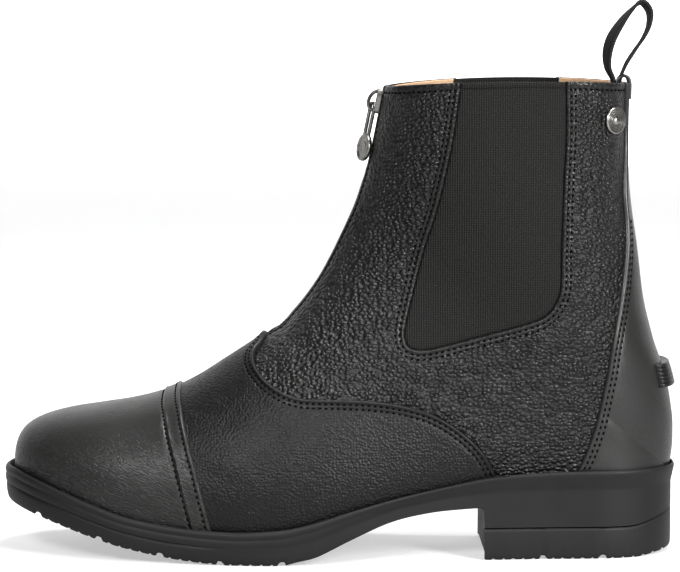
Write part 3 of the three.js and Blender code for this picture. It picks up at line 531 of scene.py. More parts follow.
def make_sheet():
    """The whole last as one fine sheet, its columns spaced evenly along each section."""
    rows = grid_rows()
    fine = np.linspace(0, 1, 241)
    halves = []
    for side in (-1, 1):
        p = last_point(rows[:, None], side * np.maximum(fine, 1e-6)[None, :])
        arc = np.concatenate([
            np.zeros((len(rows), 1)), np.cumsum(np.linalg.norm(np.diff(p, axis=1), axis=2), axis=1),
        ], 1)
        wanted = np.linspace(0, 1, HALF_COLUMNS + 1)
        halves.append(np.array([side * np.interp(wanted * a[-1], a, fine) for a in arc]))
    k = np.concatenate([halves[0][:, ::-1], halves[1][:, 1:]], 1)
    s = np.repeat(rows[:, None], k.shape[1], 1)
    p = last_point(s, k)
    n_rows, n_columns = k.shape
    closed = rows >= CLOSED_FROM

    # the seams where the sheet meets itself: at the toe and up the back
    index = np.arange(n_rows * n_columns).reshape(n_rows, n_columns)
    index[0, HALF_COLUMNS + 1:] = index[0, :HALF_COLUMNS][::-1]
    index[closed, -1] = index[closed, 0]

    def directions(q):
        across = np.gradient(q, axis=1)
        up = np.gradient(q, axis=0)
        around = q[closed, 1] - q[closed, -2]
        across[closed, 0] = around
        across[closed, -1] = around
        normal = unit(np.cross(up, across))
        normal[0] = (-1, 0, 0)
        for edge in (0, -1):
            normal[~closed, edge, 2] = 0
        normal[-1, :, 2] = 0
        return unit(normal)

    n = directions(p)
    flat = p.reshape(-1, 3)
    p = (flat + n.reshape(-1, 3) * relief(flat)[:, None]).reshape(p.shape)
    p[~closed, 0, 2] = seat_height(along_at(p[~closed, 0, 0])) + SEAT_GAP
    p[~closed, -1, 2] = seat_height(along_at(p[~closed, -1, 0])) + SEAT_GAP
    n = directions(p)

    step = np.linalg.norm(np.diff(p, axis=1), axis=2)
    ridge = np.zeros(k.shape)
    ridge[:, HALF_COLUMNS + 1:] = np.cumsum(step[:, HALF_COLUMNS:], 1)
    ridge[:, :HALF_COLUMNS] = -np.cumsum(step[:, :HALF_COLUMNS][:, ::-1], 1)[:, ::-1]
    rise = np.linalg.norm(np.diff(p, axis=0), axis=2)
    collar = np.zeros(k.shape)
    collar[:-1] = np.cumsum(rise[::-1], 0)[::-1]

    i, j = np.meshgrid(np.arange(n_rows - 1), np.arange(n_columns - 1), indexing="ij")
    i, j = i.ravel(), j.ravel()
    a, b, c, d = index[i, j], index[i + 1, j], index[i + 1, j + 1], index[i, j + 1]
    left = j < HALF_COLUMNS
    tris = np.vstack([
        np.stack([a, b, c], 1)[left], np.stack([a, c, d], 1)[left],
        np.stack([a, b, d], 1)[~left], np.stack([b, c, d], 1)[~left],
    ])
    whole = (tris[:, 0] != tris[:, 1]) & (tris[:, 1] != tris[:, 2]) & (tris[:, 0] != tris[:, 2])
    data = np.column_stack([
        p.reshape(-1, 3), n.reshape(-1, 3), ridge.ravel(), np.abs(ridge).ravel(), collar.ravel(),
        s.ravel(),
    ])
    names = ["x", "y", "z", "nx", "ny", "nz", "ridge", "from_ridge", "collar", "row"]
    return Sheet(data, names, tris[whole])


def add_seam(sheet, name, edge, window=False):
    """Adds each point's distance from a seam, negative on its far side, and its place along it."""
    line = side_line(edge)
    if not window:
        up, down = line[0] + (0, COLLAR_HEIGHT), line[-1] - (0, COLLAR_HEIGHT)
        line = np.vstack([up, line, down])
    x, y, z = sheet.get("x"), sheet.get("y"), sheet.get("z")
    flat, place = line_distance(line, x, z)
    if window:
        flat = np.where(inside(line, x, z), -1, 1) * np.abs(flat)
    marked = sheet.put("flat", flat).put("place", place)
    hits = marked.crossings("flat", 0)
    order = hits[:, marked.names.index("place")] * np.where(hits[:, 1] < 0, -1, 1)
    hits, order = hits[np.argsort(order)], np.sort(order)
    tree = kdtree.KDTree(len(hits))
    for i, h in enumerate(hits):
        tree.insert(h[:3], i)
    tree.balance()
    steps = np.linalg.norm(np.diff(hits[:, :3], axis=0), axis=1)
    length = np.concatenate([[0], np.cumsum(np.where(steps > 12, 0, steps))])
    distance, along = np.zeros(len(x)), np.zeros(len(x))
    points = hits[:, :3]
    for v, p in enumerate(sheet.points):
        _, i, far = tree.find(p)
        best, at = far, length[i]
        for j in (i - 1, i):
            if 0 <= j < len(points) - 1 and steps[j] < 12 and steps[j] > 1e-6:
                d = points[j + 1] - points[j]
                t = min(1.0, max(0.0, float((p - points[j]) @ d) / float(d @ d)))
                gap = float(np.linalg.norm(p - points[j] - t * d))
                if gap <= best:
                    best, at = gap, length[j] + t * steps[j]
        distance[v], along[v] = best, at
    return sheet.put(name, np.sign(flat) * distance).put(name + "_at", along)


whole_last = make_sheet()
whole_last = add_seam(whole_last, "vamp", VAMP_EDGE)
whole_last = add_seam(whole_last, "cap", CAP_EDGE)
whole_last = add_seam(whole_last, "panel", PANEL_EDGE)
whole_last = add_seam(whole_last, "window", GUSSET_EDGE, window=True)
# The vamp and cap lie to the front of their seams, the panel behind its own
for front in ("vamp", "cap"):
    whole_last.data[:, whole_last.names.index(front)] *= -1


# Materials: each is drawn by nodes in millimetres of the object's own space
def node(tree, kind, inputs=None, **settings):
    """A shader node with its settings, and its sockets set or linked."""
    made = tree.nodes.new("ShaderNode" + kind)
    for key, value in settings.items():
        setattr(made, key, value)
    for key, value in (inputs or {}).items():
        if isinstance(value, bpy.types.NodeSocket):
            tree.links.new(value, made.inputs[key])
        else:
            made.inputs[key].default_value = value
    return made


def math_node(tree, operation, *values, clamp=False):
    made = node(tree, "Math", dict(enumerate(values)), operation=operation, use_clamp=clamp)
    return made.outputs[0]


def blend_colour(tree, share, low, high):
    """A colour between two others, by a share from 0 to 1."""
    made = node(tree, "Mix", {"Factor": share}, data_type="RGBA")
    for socket, value in ((made.inputs[6], low), (made.inputs[7], high)):
        if isinstance(value, bpy.types.NodeSocket):
            tree.links.new(value, socket)
        else:
            socket.default_value = value
    return made.outputs[2]


def grey(tone, warm=0.0):
    """A colour from one lightness, a little warmer or cooler."""
    return (tone * (1 + warm), tone, tone * (1 - 1.6 * warm), 1)


def new_material(name, colour, roughness, **sockets):
    made = bpy.data.materials.new(name)
    made.use_nodes = True
    made.diffuse_color = colour
    tree = made.node_tree
    shader = tree.nodes["Principled BSDF"]
    shader.inputs["Base Color"].default_value = colour
    shader.inputs["Roughness"].default_value = roughness
    for key, value in sockets.items():
        shader.inputs[key].default_value = value
    return made, tree, shader


def millimetres(tree, stretch=(1, 1, 1), turn=(0, 0, 0)):
    """Places on the object in millimetres, stretched along the axes."""
    where = node(tree, "TexCoord").outputs["Object"]
    scale = tuple(v * MM for v in stretch)
    inputs = {"Vector": where, "Scale": scale, "Rotation": turn}
    return node(tree, "Mapping", inputs, vector_type="TEXTURE").outputs[0]


def noise(tree, place, size, detail=2.0, rough=0.5):
    return node(tree, "TexNoise", {
        "Vector": place, "Scale": 1 / size, "Detail": detail, "Roughness": rough,
    }).outputs["Fac"]


def warped(tree, place, size, amount):
    """The places moved about by a soft noise, so that a pattern isn't regular."""
    push = node(tree, "TexNoise", {"Vector": place, "Scale": 1 / size, "Detail": 1.0})
    centred = node(tree, "VectorMath", {0: push.outputs["Color"], 1: (0.5, 0.5, 0.5)}, operation="SUBTRACT")
    scaled = node(tree, "VectorMath", {0: centred.outputs[0], "Scale": amount}, operation="SCALE")
    return node(tree, "VectorMath", {0: place, 1: scaled.outputs[0]}, operation="ADD").outputs[0]


def pebbles(tree, place, cell, edge=0.42):
    """Rounded grain cells: 0 in the valleys between them and 1 on their tops."""
    wavy = warped(tree, place, cell * 2.5, cell * 0.45)
    cells = node(tree, "TexVoronoi", {"Vector": wavy, "Scale": 1 / cell, "Randomness": 0.8},
                 feature="F1")
    return node(tree, "MapRange", {
        "Value": cells.outputs["Distance"], "From Min": edge * 2, "From Max": 0.15,
    }, interpolation_type="SMOOTHSTEP").outputs[0]


def lines(tree, place, width, edge=0.06):
    """Fine worn creases: 0 along the middle of a noise's slopes and 1 elsewhere."""
    field = noise(tree, place, width, 2.0, 0.55)
    off = math_node(tree, "ABSOLUTE", math_node(tree, "SUBTRACT", field, 0.5))
    return node(tree, "MapRange", {"Value": off, "From Min": 0.0, "From Max": edge},
                interpolation_type="SMOOTHSTEP").outputs[0]


def bumped(tree, shader, height, depth, strength=1.0):
    bump = node(tree, "Bump", {"Height": height, "Distance": depth * MM, "Strength": strength})
    tree.links.new(bump.outputs[0], shader.inputs["Normal"])


def leather(name, tone, cell, depth, roughness, grain=1.0, stretch=(1, 1, 1), creases=None,
            specular=0.3, coat=0.0):
    """Black leather: pebbled grain, finer pores, faint creases and a dressing that wears unevenly; its colour is
    painted darker in the grain's valleys as shade.
    """
    made, tree, shader = new_material(
        name, grey(tone, 0.015), roughness,
        **{"Specular IOR Level": specular, "Coat Weight": coat, "Coat Roughness": 0.3},
    )
    place = millimetres(tree, stretch)
    even = millimetres(tree)
    top = pebbles(tree, place, cell)
    small = pebbles(tree, place, cell * 0.5, 0.35)
    pores = noise(tree, even, cell * 0.2, 2.0)
    patchy = node(tree, "MapRange", {
        "Value": noise(tree, even, 7.0, 2.0), "From Min": 0.35, "From Max": 0.65,
        "To Min": 0.7, "To Max": 1.1,
    }).outputs[0]
    calm = node(tree, "Attribute", attribute_name="calm").outputs["Fac"]
    rough = math_node(tree, "MULTIPLY_ADD", calm, -0.85, 1.0)
    height = math_node(tree, "MULTIPLY", math_node(tree, "MULTIPLY", top, grain), patchy)
    height = math_node(tree, "MULTIPLY_ADD", small, 0.12 * grain, height)
    if creases:
        crease_place = millimetres(tree, creases["stretch"], creases["turn"])
        folds = lines(tree, crease_place, creases["size"], creases["edge"])
        height = math_node(tree, "MULTIPLY_ADD", folds, creases["depth"], height)
    height = math_node(tree, "MULTIPLY_ADD", pores, 0.07, math_node(tree, "MULTIPLY", height, rough))
    bumped(tree, shader, height, depth)
    wear = noise(tree, even, 16.0, 3.0, 0.6)
    # Painted shade: the colour is made darker in the grain's valleys, where shade would fall, and lighter on the
    # pebbles' tops; the same mask also makes the valleys rougher
    valley_shade = math_node(tree, "MULTIPLY", math_node(tree, "SUBTRACT", 1.0, top), 0.5 * grain, clamp=True)
    wear_and_valley_shade = math_node(tree, "MULTIPLY_ADD", wear, 0.5, math_node(tree, "MULTIPLY", valley_shade, -1.0))
    # The colour mixes the dressing's real uneven wear with the painted shade in the valleys
    colour = blend_colour(tree, math_node(tree, "ADD", wear_and_valley_shade, 0.25, clamp=True),
                          grey(tone * 0.5, 0.02), grey(tone * 1.4, 0.012))
    tree.links.new(colour, shader.inputs["Base Color"])
    dull = math_node(tree, "MULTIPLY_ADD", wear, -0.16, roughness + 0.08)
    tree.links.new(math_node(tree, "MULTIPLY_ADD", valley_shade, 0.3, dull), shader.inputs["Roughness"])
    return made


def rubber_look():
    made, tree, shader = new_material("sole_rubber", grey(0.018), 0.55, **{"Specular IOR Level": 0.28})
    place = millimetres(tree)
    cloudy = noise(tree, place, 9.0, 3.0, 0.6)
    fine = noise(tree, place, 0.35, 2.0)
    colour = blend_colour(tree, cloudy, grey(0.008), grey(0.013))
    tree.links.new(colour, shader.inputs["Base Color"])
    tree.links.new(math_node(tree, "MULTIPLY_ADD", cloudy, 0.2, 0.46), shader.inputs["Roughness"])
    bumped(tree, shader, fine, 0.03)
    return made


def woven(name, tone, warp_pitch, weft_pitch, depth, roughness, warm=0.0, axes=("X", "Z")):
    """Cloth of crossing yarns: rounded ribs one way, finer ones across them, its colour painted darker between the
    yarns as shade.
    """
    made, tree, shader = new_material(
        name, grey(tone, warm), roughness, **{"Specular IOR Level": 0.25},
    )
    place = warped(tree, millimetres(tree), 3.0, 0.12)
    split = node(tree, "SeparateXYZ", {"Vector": place})
    turns = []
    for axis, pitch in zip(axes, (warp_pitch, weft_pitch)):
        wave = math_node(tree, "SINE", math_node(tree, "MULTIPLY", split.outputs[axis], 2 * math.pi / pitch))
        turns.append(math_node(tree, "MULTIPLY_ADD", wave, 0.5, 0.5))
    yarn = math_node(tree, "MULTIPLY", turns[0], math_node(tree, "MULTIPLY_ADD", turns[1], 0.6, 0.4))
    fuzz = noise(tree, place, 0.2, 2.0)
    height = math_node(tree, "MULTIPLY_ADD", fuzz, 0.25, yarn)
    bumped(tree, shader, height, depth)
    # Painted shade: the colour follows the yarns' height, darker in the gaps between them and lighter on their tops
    colour = blend_colour(tree, yarn, grey(tone * 0.45, warm), grey(tone * 1.5, warm))
    tree.links.new(colour, shader.inputs["Base Color"])
    return made


def lining_look(name, colour, dark):
    """Undyed lining leather, faintly mottled."""
    made, tree, shader = new_material(name, colour, 0.62, **{"Specular IOR Level": 0.35})
    place = millimetres(tree)
    cloudy = noise(tree, place, 11.0, 3.0, 0.6)
    tree.links.new(blend_colour(tree, cloudy, dark, colour), shader.inputs["Base Color"])
    height = math_node(tree, "MULTIPLY_ADD", noise(tree, place, 0.4, 2.0), 0.5, pebbles(tree, place, 0.9))
    bumped(tree, shader, height, 0.05)
    return made


def thread_look():
    made, tree, shader = new_material("thread", grey(0.002), 0.9, **{"Specular IOR Level": 0.05})
    place = millimetres(tree)
    twist = noise(tree, place, 0.3, 1.0)
    tree.links.new(blend_colour(tree, twist, grey(0.001), grey(0.004)), shader.inputs["Base Color"])
    bumped(tree, shader, twist, 0.05)
    return made


def metal_look():
    """Polished silver plating with fine scratches and a soft tarnish."""
    made, tree, shader = new_material("silver_metal", (0.25, 0.245, 0.235, 1), 0.3, Metallic=1.0)
    place = millimetres(tree)
    scratches = noise(tree, millimetres(tree, (0.08, 2.0, 2.0), (0.4, 0.3, 0.2)), 1.0, 2.0)
    tarnish = noise(tree, place, 3.0, 3.0)
    colour = blend_colour(tree, tarnish, (0.12, 0.117, 0.11, 1), (0.34, 0.333, 0.32, 1))
    tree.links.new(colour, shader.inputs["Base Color"])
    tree.links.new(math_node(tree, "MULTIPLY_ADD", tarnish, 0.2, 0.26), shader.inputs["Roughness"])
    bumped(tree, shader, scratches, 0.004)
    return made


def teeth_look():
    made, tree, shader = new_material("zip_teeth", grey(0.03), 0.35, Metallic=0.2)
    worn = noise(tree, millimetres(tree), 1.1, 2.0)
    tree.links.new(blend_colour(tree, worn, grey(0.018), grey(0.05)), shader.inputs["Base Color"])
    bumped(tree, shader, worn, 0.03)
    return made


LOOKS = {
    "grained_leather": leather("grained_leather", 0.01, 1.5, 0.76, 0.3, 1.0, (1.35, 1.35, 1),
                               specular=0.34),
    "fine_grained_leather": leather("fine_grained_leather", 0.008, 1.2, 0.2, 0.38, 0.9, specular=0.26),
    "smooth_leather": leather("smooth_leather", 0.02, 1.1, 0.2, 0.4, 0.25, creases={
        "stretch": (4, 2, 0.8), "turn": (0, 0.33, 0), "size": 1.9, "edge": 0.07, "depth": 0.9,
    }),
    "stacked_leather": leather("stacked_leather", 0.009, 0.9, 0.04, 0.38, 0.5),
    "elastic": woven("elastic", 0.013, 1.0, 1.0, 0.3, 0.75, 0.03),
    "zip_tape": woven("zip_tape", 0.008, 0.5, 0.7, 0.08, 0.8),
    "loop_tape": woven("loop_tape", 0.012, 0.9, 0.45, 0.12, 0.75, 0.0, ("Y", "Z")),
    "insole_board": lining_look("insole_board", (0.36, 0.25, 0.165, 1), (0.29, 0.195, 0.125, 1)),
    "sole_rubber": rubber_look(),
    "silver_metal": metal_look(),
}
THREAD = thread_look()
TEETH = teeth_look()
SATIN = leather("satin_leather", 0.02, 1.0, 0.035, 0.36, 0.5, specular=0.4)


def make_mesh(name, points, faces, body="boot", stands_for=(), slot=None, look=None, calm=None,
              sharp=40):
    """A piece from points in millimetres, riding on a body and standing for CAD nodes. calm says
    how far the grain is stretched smooth at each point."""
    mesh = bpy.data.meshes.new(name)
    mesh.from_pydata((np.asarray(points) * MM).tolist(), [], [list(map(int, f)) for f in faces])
    mesh.update()
    if calm is not None:
        mesh.attributes.new("calm", "FLOAT", "POINT").data.foreach_set("value", calm)
    mesh.shade_smooth()
    mesh.set_sharp_from_angle(angle=math.radians(sharp))
    mesh.materials.append(look or LOOKS[slot])
    piece = bpy.data.objects.new(name, mesh)
    bpy.context.scene.collection.objects.link(piece)
    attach(piece, body)
    if stands_for:
        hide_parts(*stands_for)
    return piece


def shell(name, sheet, cuts, outer, inner, calm=None, **more):
    """A closed piece between two heights over the sheet, with extra edges where cuts says."""
    for field, levels in cuts:
        for level in levels:
            sheet = sheet.split(field, level)
    high, low = outer(sheet), inner(sheet)
    p, n = sheet.points, sheet.normals
    count = len(p)
    points = np.vstack([p + n * high[:, None], p + n * low[:, None]])
    tris = sheet.tris
    edges = np.vstack([tris[:, [0, 1]], tris[:, [1, 2]], tris[:, [2, 0]]])
    keys = np.sort(edges, axis=1)
    _, first, uses = np.unique(keys, axis=0, return_index=True, return_counts=True)
    rim = edges[first[uses == 1]]
    walls = [(b, a, a + count, b + count) for a, b in rim]
    faces = tris.tolist() + (tris[:, ::-1] + count).tolist() + walls
    smooth = None if calm is None else np.tile(calm(sheet), 2)
    return make_mesh(name, points, faces, calm=smooth, **more)


def rounded(d, low, high, radius):
    """Height of a folded edge that rises from low to high over its radius."""
    u = 1 - np.clip(d / radius, 0, 1)
    return low + (high - low) * np.sqrt(np.maximum(0, 1 - u * u))


def trough(d, at, depth=TROUGH, width=0.55):
    return -depth * np.exp(-((d - at) / width) ** 2)


def fold(d, low, high, rows=STITCH_ROWS, puff=0.3):
    """A folded, stitched edge: a round lip, then troughs along its stitch rows."""
    height = rounded(d, low, high, FOLD)
    height = height + puff * np.exp(-((d - FOLD) / 0.8) ** 2)
    for at in rows:
        height = height + trough(d, at)
    if len(rows) > 1:
        height = height + 0.12 * np.exp(-((d - sum(rows) / 2) / 0.5) ** 2)
    return height


FOLD_CUTS = [0.06, 0.2, 0.45, 0.8, 1.2]


def stretched(*distances):
    """How smooth the leather is pulled near its folded, stitched edges."""
    return np.clip(sum(1 - smooth_step(d, 2.5, 6.5) for d in distances), 0, 1)


def row_cuts(rows):
    out = []
    for at in rows:
        out += [at - 0.75, at - 0.4, at, at + 0.4, at + 0.75]
    return out


EDGE_CUTS = FOLD_CUTS + row_cuts(STITCH_ROWS)

# Quarters: the shaft's leather, with windows for the elastic and a slot for the zip
ZIP_ROWS = (2.4,)
COLLAR_ROWS = (3.1,)


def zip_edge(sheet):
    """Distance from the zip's slot, which ends under the vamp: negative inside it."""
    beside = sheet.get("from_ridge") - ZIP_HALF
    below = sheet.get("vamp") - UNDERLAP + 1.5
    outside = np.hypot(np.maximum(beside, 0), np.maximum(below, 0))
    return np.where((beside > 0) | (below > 0), outside, np.maximum(beside, below))


def top_round(depth, thickness):
    """How much a sheet's two faces close in towards each other at the collar."""
    radius = thickness / 2
    u = 1 - np.clip(depth / radius, 0, 1)
    return radius * (1 - np.sqrt(np.maximum(0, 1 - u * u)))


def quarter_height(sheet):
    window, slot, collar = sheet.get("window"), sheet.get("slot"), sheet.get("collar")
    height = np.zeros(len(window))
    height += fold(window, -0.95, 0) * (window < 8)
    height += fold(slot, -0.95, 0, ZIP_ROWS) * (slot < 6) * (window > 8)
    for at in COLLAR_ROWS:
        height += trough(collar, at) * (window > 1)
    height += 0.15 * np.exp(-((collar - 1.3) / 0.9) ** 2)
    return height - top_round(collar, LEATHER)


def quarter_back(sheet):
    return -LEATHER + top_round(sheet.get("collar"), LEATHER) + 0 * sheet.get("x")


body_sheet = whole_last.put("slot", zip_edge(whole_last))
quarter_sheet = body_sheet.where("vamp", UNDERLAP, above=False)
quarter_sheet = quarter_sheet.where("window", 0).where("slot", 0)
quarters = shell(
    "quarters", quarter_sheet,
    [("window", EDGE_CUTS), ("slot", FOLD_CUTS + row_cuts(ZIP_ROWS)),
     ("collar", [0.06, 0.2, 0.4, 0.6, 1.2] + row_cuts(COLLAR_ROWS))],
    quarter_height, quarter_back, stands_for=["upper"], slot="grained_leather",
    calm=lambda f: np.maximum(
        0.85 * stretched(f.get("window"), f.get("collar")),
        0.8 * (1 - smooth_step(f.get("from_ridge"), 5, 17)),
    ),
)

# Lining: the tan inside of the shaft and the foot
LINING_TOP = 0.25


def lining_front(sheet):
    return -LEATHER - 0.06 - top_round(sheet.get("collar") - LINING_TOP, LINING)


def lining_back(sheet):
    return -LEATHER - 0.06 - LINING + top_round(sheet.get("collar") - LINING_TOP, LINING)


lining_sheet = body_sheet.where("window", 1.5).where("slot", 1).where("collar", LINING_TOP)
lining = shell(
    "lining", lining_sheet, [("collar", [0.45, 0.7])], lining_front, lining_back,
    stands_for=["upper"], slot="insole_board",
)

# Gussets: elastic set into the windows, with a hem along the collar
GUSSET_TOP = 0.25
HEM = 2.9


def gusset_front(sheet):
    window, collar = sheet.get("window"), sheet.get("collar")
    tucked = smooth_step(window, -0.7, 0.3)
    face = -0.62 + 0.22 * np.exp(-((collar - 1.4) / 1.1) ** 4)
    face = face + trough(collar, HEM, 0.3, 0.3)
    return face * (1 - tucked) + (-LEATHER - 0.1) * tucked - top_round(collar - GUSSET_TOP, 0.8)


def gusset_back(sheet):
    return -2.05 + top_round(sheet.get("collar") - GUSSET_TOP, 0.8)


gusset_sheet = body_sheet.where("window", 3, above=False).where("collar", GUSSET_TOP)
HEM_CUTS = [0.4, 0.7, 1.2, 2.3, 2.6, 2.75, 2.9, 3.05, 3.2, 3.5]
GUSSET_CUTS = [("collar", HEM_CUTS), ("window", [-0.7, -0.45, -0.2, 0.05, 0.3])]
gusset_outer = shell(
    "elastic_outer", gusset_sheet.where("y", 0, above=False), GUSSET_CUTS, gusset_front, gusset_back,
    stands_for=["gusset_outer"], slot="elastic",
)
gusset_inner = shell(
    "elastic_inner", gusset_sheet.where("y", 0), GUSSET_CUTS, gusset_front, gusset_back,
    stands_for=["gusset_inner"], slot="elastic",
)

# Vamp: laid over the quarters, its folded edge rolled up at the throat
THROAT_ROLL = 0.5


def vamp_height(sheet):
    d = sheet.get("vamp")
    roll = THROAT_ROLL * np.exp(-(sheet.get("from_ridge") / 13) ** 2)
    radius = FOLD + roll
    lip = rounded(d, 0.12, VAMP_HEIGHT, radius) + roll * rounded(d, 0, 1, radius) * np.exp(-(d / 5) ** 2)
    for at in STITCH_ROWS:
        lip = lip + trough(d, at)
    return lip + 0.3 * np.exp(-((d - FOLD) / 0.8) ** 2)


def vamp_back(sheet):
    return np.full(len(sheet.data), 0.04)


vamp_sheet = whole_last.where("vamp", 0).where("cap", -UNDERLAP * -0.7, above=False)
vamp = shell(
    "vamp_leather", vamp_sheet, [("vamp", EDGE_CUTS)], vamp_height, vamp_back,
    stands_for=["vamp"], slot="fine_grained_leather", calm=lambda f: stretched(f.get("vamp")),
)

# Toe cap: over the vamp, with a second row of stitches further forward
CAP_ROWS = (2.1,)
CAP_SECOND = (8.7,)


def cap_height(sheet):
    d = sheet.get("cap")
    height = fold(d, VAMP_HEIGHT + 0.05, CAP_HEIGHT, CAP_ROWS, 0.35)
    for at in CAP_SECOND:
        height += trough(d, at, 0.42, 0.5)
    band = 0.25 * np.exp(-((d - CAP_SECOND[0] + 1.4) / 0.6) ** 2)
    return height + band - 0.45 * smooth_step(d, CAP_SECOND[0] - 1.1, CAP_SECOND[0] - 0.5)


def cap_back(sheet):
    over = 1 - smooth_step(sheet.get("cap"), UNDERLAP * 0.7, UNDERLAP * 0.7 + 0.8)
    return 0.04 + (VAMP_HEIGHT + 0.02) * over


cap_sheet = whole_last.where("cap", 0)
cap_cuts = FOLD_CUTS + row_cuts(CAP_ROWS) + row_cuts(CAP_SECOND) + [UNDERLAP * 0.7, 5, 6.7, 7.2]
toe_cap = shell(
    "toe_cap_leather", cap_sheet, [("cap", sorted(cap_cuts))], cap_height, cap_back,
    stands_for=["toe_cap"], slot="smooth_leather",
    calm=lambda f: smooth_step(f.get("z"), 34, 56),
)

# Back panel: over the quarters, down the back seam to the sole
PANEL_ROWS_TOP = 56


def panel_height(sheet):
    d, collar = sheet.get("panel"), sheet.get("collar")
    stitched = smooth_step(collar, PANEL_ROWS_TOP, PANEL_ROWS_TOP + 4)
    height = rounded(d, 0.1, PANEL_HEIGHT, FOLD) + 0.25 * np.exp(-((d - FOLD) / 0.8) ** 2)
    for at in STITCH_ROWS:
        height = height + trough(d, at) * stitched
    return height - top_round(collar, 1.3)


def panel_back(sheet):
    return 0.04 + top_round(sheet.get("collar"), 1.3)


panel_sheet = whole_last.where("panel", 0)
back_panel = shell(
    "back_panel_leather", panel_sheet,
    [("panel", EDGE_CUTS), ("collar", [0.06, 0.2, 0.4, 0.65])], panel_height, panel_back,
    stands_for=["back_panel"], slot="smooth_leather", look=SATIN,
)


def trace(sheet, field, level, order, height, keep=None):
    """Runs of stitches' places along a level of a field: points on the surface and directions."""
    hits = sheet.crossings(field, level)
    found = Sheet(hits, sheet.names, np.zeros((0, 3), int))
    if keep is not None:
        found = Sheet(hits[keep(found)], sheet.names, found.tris)
    found = Sheet(found.data[np.argsort(found.get(order))], sheet.names, found.tris)
    p = found.points + found.normals * height(found)[:, None]
    runs, start = [], 0
    jumps = np.linalg.norm(np.diff(p, axis=0), axis=1) > 5
    for end in list(np.nonzero(jumps)[0] + 1) + [len(p)]:
        if end - start > 3:
            runs.append((p[start:end], found.normals[start:end]))
        start = end
    return runs


def even_places(p, n, pitch):
    """Places one pitch apart along a run, with the run's direction and the surface's."""
    steps = np.linalg.norm(np.diff(p, axis=0), axis=1)
    whole = np.concatenate([[True], steps > 1e-4])
    p, n = p[whole], n[whole]
    at = np.concatenate([[0], np.cumsum(np.linalg.norm(np.diff(p, axis=0), axis=1))])
    count = int(at[-1] / pitch)
    if count < 1:
        return []
    wanted = (np.arange(count) + 0.5) * at[-1] / count
    take = lambda q, w: np.stack([np.interp(w, at, q[:, c]) for c in range(3)], 1)
    centre, up = take(p, wanted), unit(take(n, wanted))
    ahead = unit(take(p, wanted + 0.8) - take(p, wanted - 0.8))
    return list(zip(centre, ahead, up))


def stitch_shape(length, radius):
    """One stitch: a short thread that rises out of one hole and dives into the next."""
    along = np.linspace(-1, 1, 7)
    points = []
    for t in along:
        thick = radius * (1 - abs(t) ** 4) ** 0.5 if abs(t) < 1 else radius * 0.1
        sink = -0.9 * radius * t ** 4
        for a in range(6):
            turn = 2 * math.pi * a / 6
            points.append((t * length / 2, thick * math.cos(turn), thick * 0.8 * math.sin(turn) + sink))
    faces = []
    for i in range(6):
        for a in range(6):
            b = (a + 1) % 6
            faces.append((i * 6 + a, i * 6 + b, (i + 1) * 6 + b, (i + 1) * 6 + a))
    faces.append(tuple(reversed(range(6))))
    faces.append(tuple(range(36, 42)))
    return np.array(points), faces


def scatter(name, shape, places, **more):
    """Copies of one small shape, joined into one piece."""
    base, faces = shape
    points, all_faces = [], []
    for centre, ahead, up in places:
        side = unit(np.cross(up, ahead))
        frame_axes = np.stack([ahead, side, np.cross(ahead, side)])
        start = len(points) * len(base)
        points.append(base @ frame_axes + centre)
        all_faces += [tuple(start + i for i in f) for f in faces]
    return make_mesh(name, np.vstack(points), all_faces, **more)


def row_places(sheet, field, rows, order, height, keep=None):
    places = []
    for level in rows:
        for p, n in trace(sheet, field, level, order, height, keep):
            places += even_places(p, n, STITCH_PITCH)
    return places


stitch = stitch_shape(STITCH_LENGTH, STITCH_RADIUS)
quarter_rows = row_places(
    quarter_sheet, "window", STITCH_ROWS, "window_at", quarter_height,
    lambda f: (f.get("collar") > 2) & (f.get("y") < 0),
)
quarter_rows += row_places(
    quarter_sheet, "window", STITCH_ROWS, "window_at", quarter_height,
    lambda f: (f.get("collar") > 2) & (f.get("y") > 0),
)
for side in (-1, 1):
    quarter_rows += row_places(
        quarter_sheet, "slot", ZIP_ROWS, "row", quarter_height,
        lambda f: (f.get("y") * side > 0) & (f.get("vamp") < -1) & (f.get("collar") > 3),
    )
quarter_rows += row_places(
    quarter_sheet, "collar", COLLAR_ROWS, "ridge", quarter_height,
    lambda f: (f.get("window") > 4) & (f.get("slot") > 2) & (f.get("panel") < -0.5),
)
scatter("quarter_stitches", stitch, quarter_rows, slot="loop_tape", look=THREAD)
scatter("vamp_stitches", stitch, row_places(
    vamp_sheet, "vamp", STITCH_ROWS, "vamp_at", vamp_height,
), slot="loop_tape", look=THREAD)
cap_rows = row_places(cap_sheet, "cap", CAP_ROWS + CAP_SECOND, "cap_at", cap_height)
scatter("toe_cap_stitches", stitch, cap_rows, slot="loop_tape", look=THREAD)
panel_rows = row_places(
    panel_sheet, "panel", STITCH_ROWS, "panel_at", panel_height,
    lambda f: f.get("collar") > PANEL_ROWS_TOP + 2,
)
panel_rows += row_places(panel_sheet, "collar", COLLAR_ROWS, "ridge", panel_height,
                         lambda f: (f.get("panel") > 1) & (f.get("ridge") < 0))
scatter("back_panel_stitches", stitch, panel_rows, slot="loop_tape", look=THREAD)


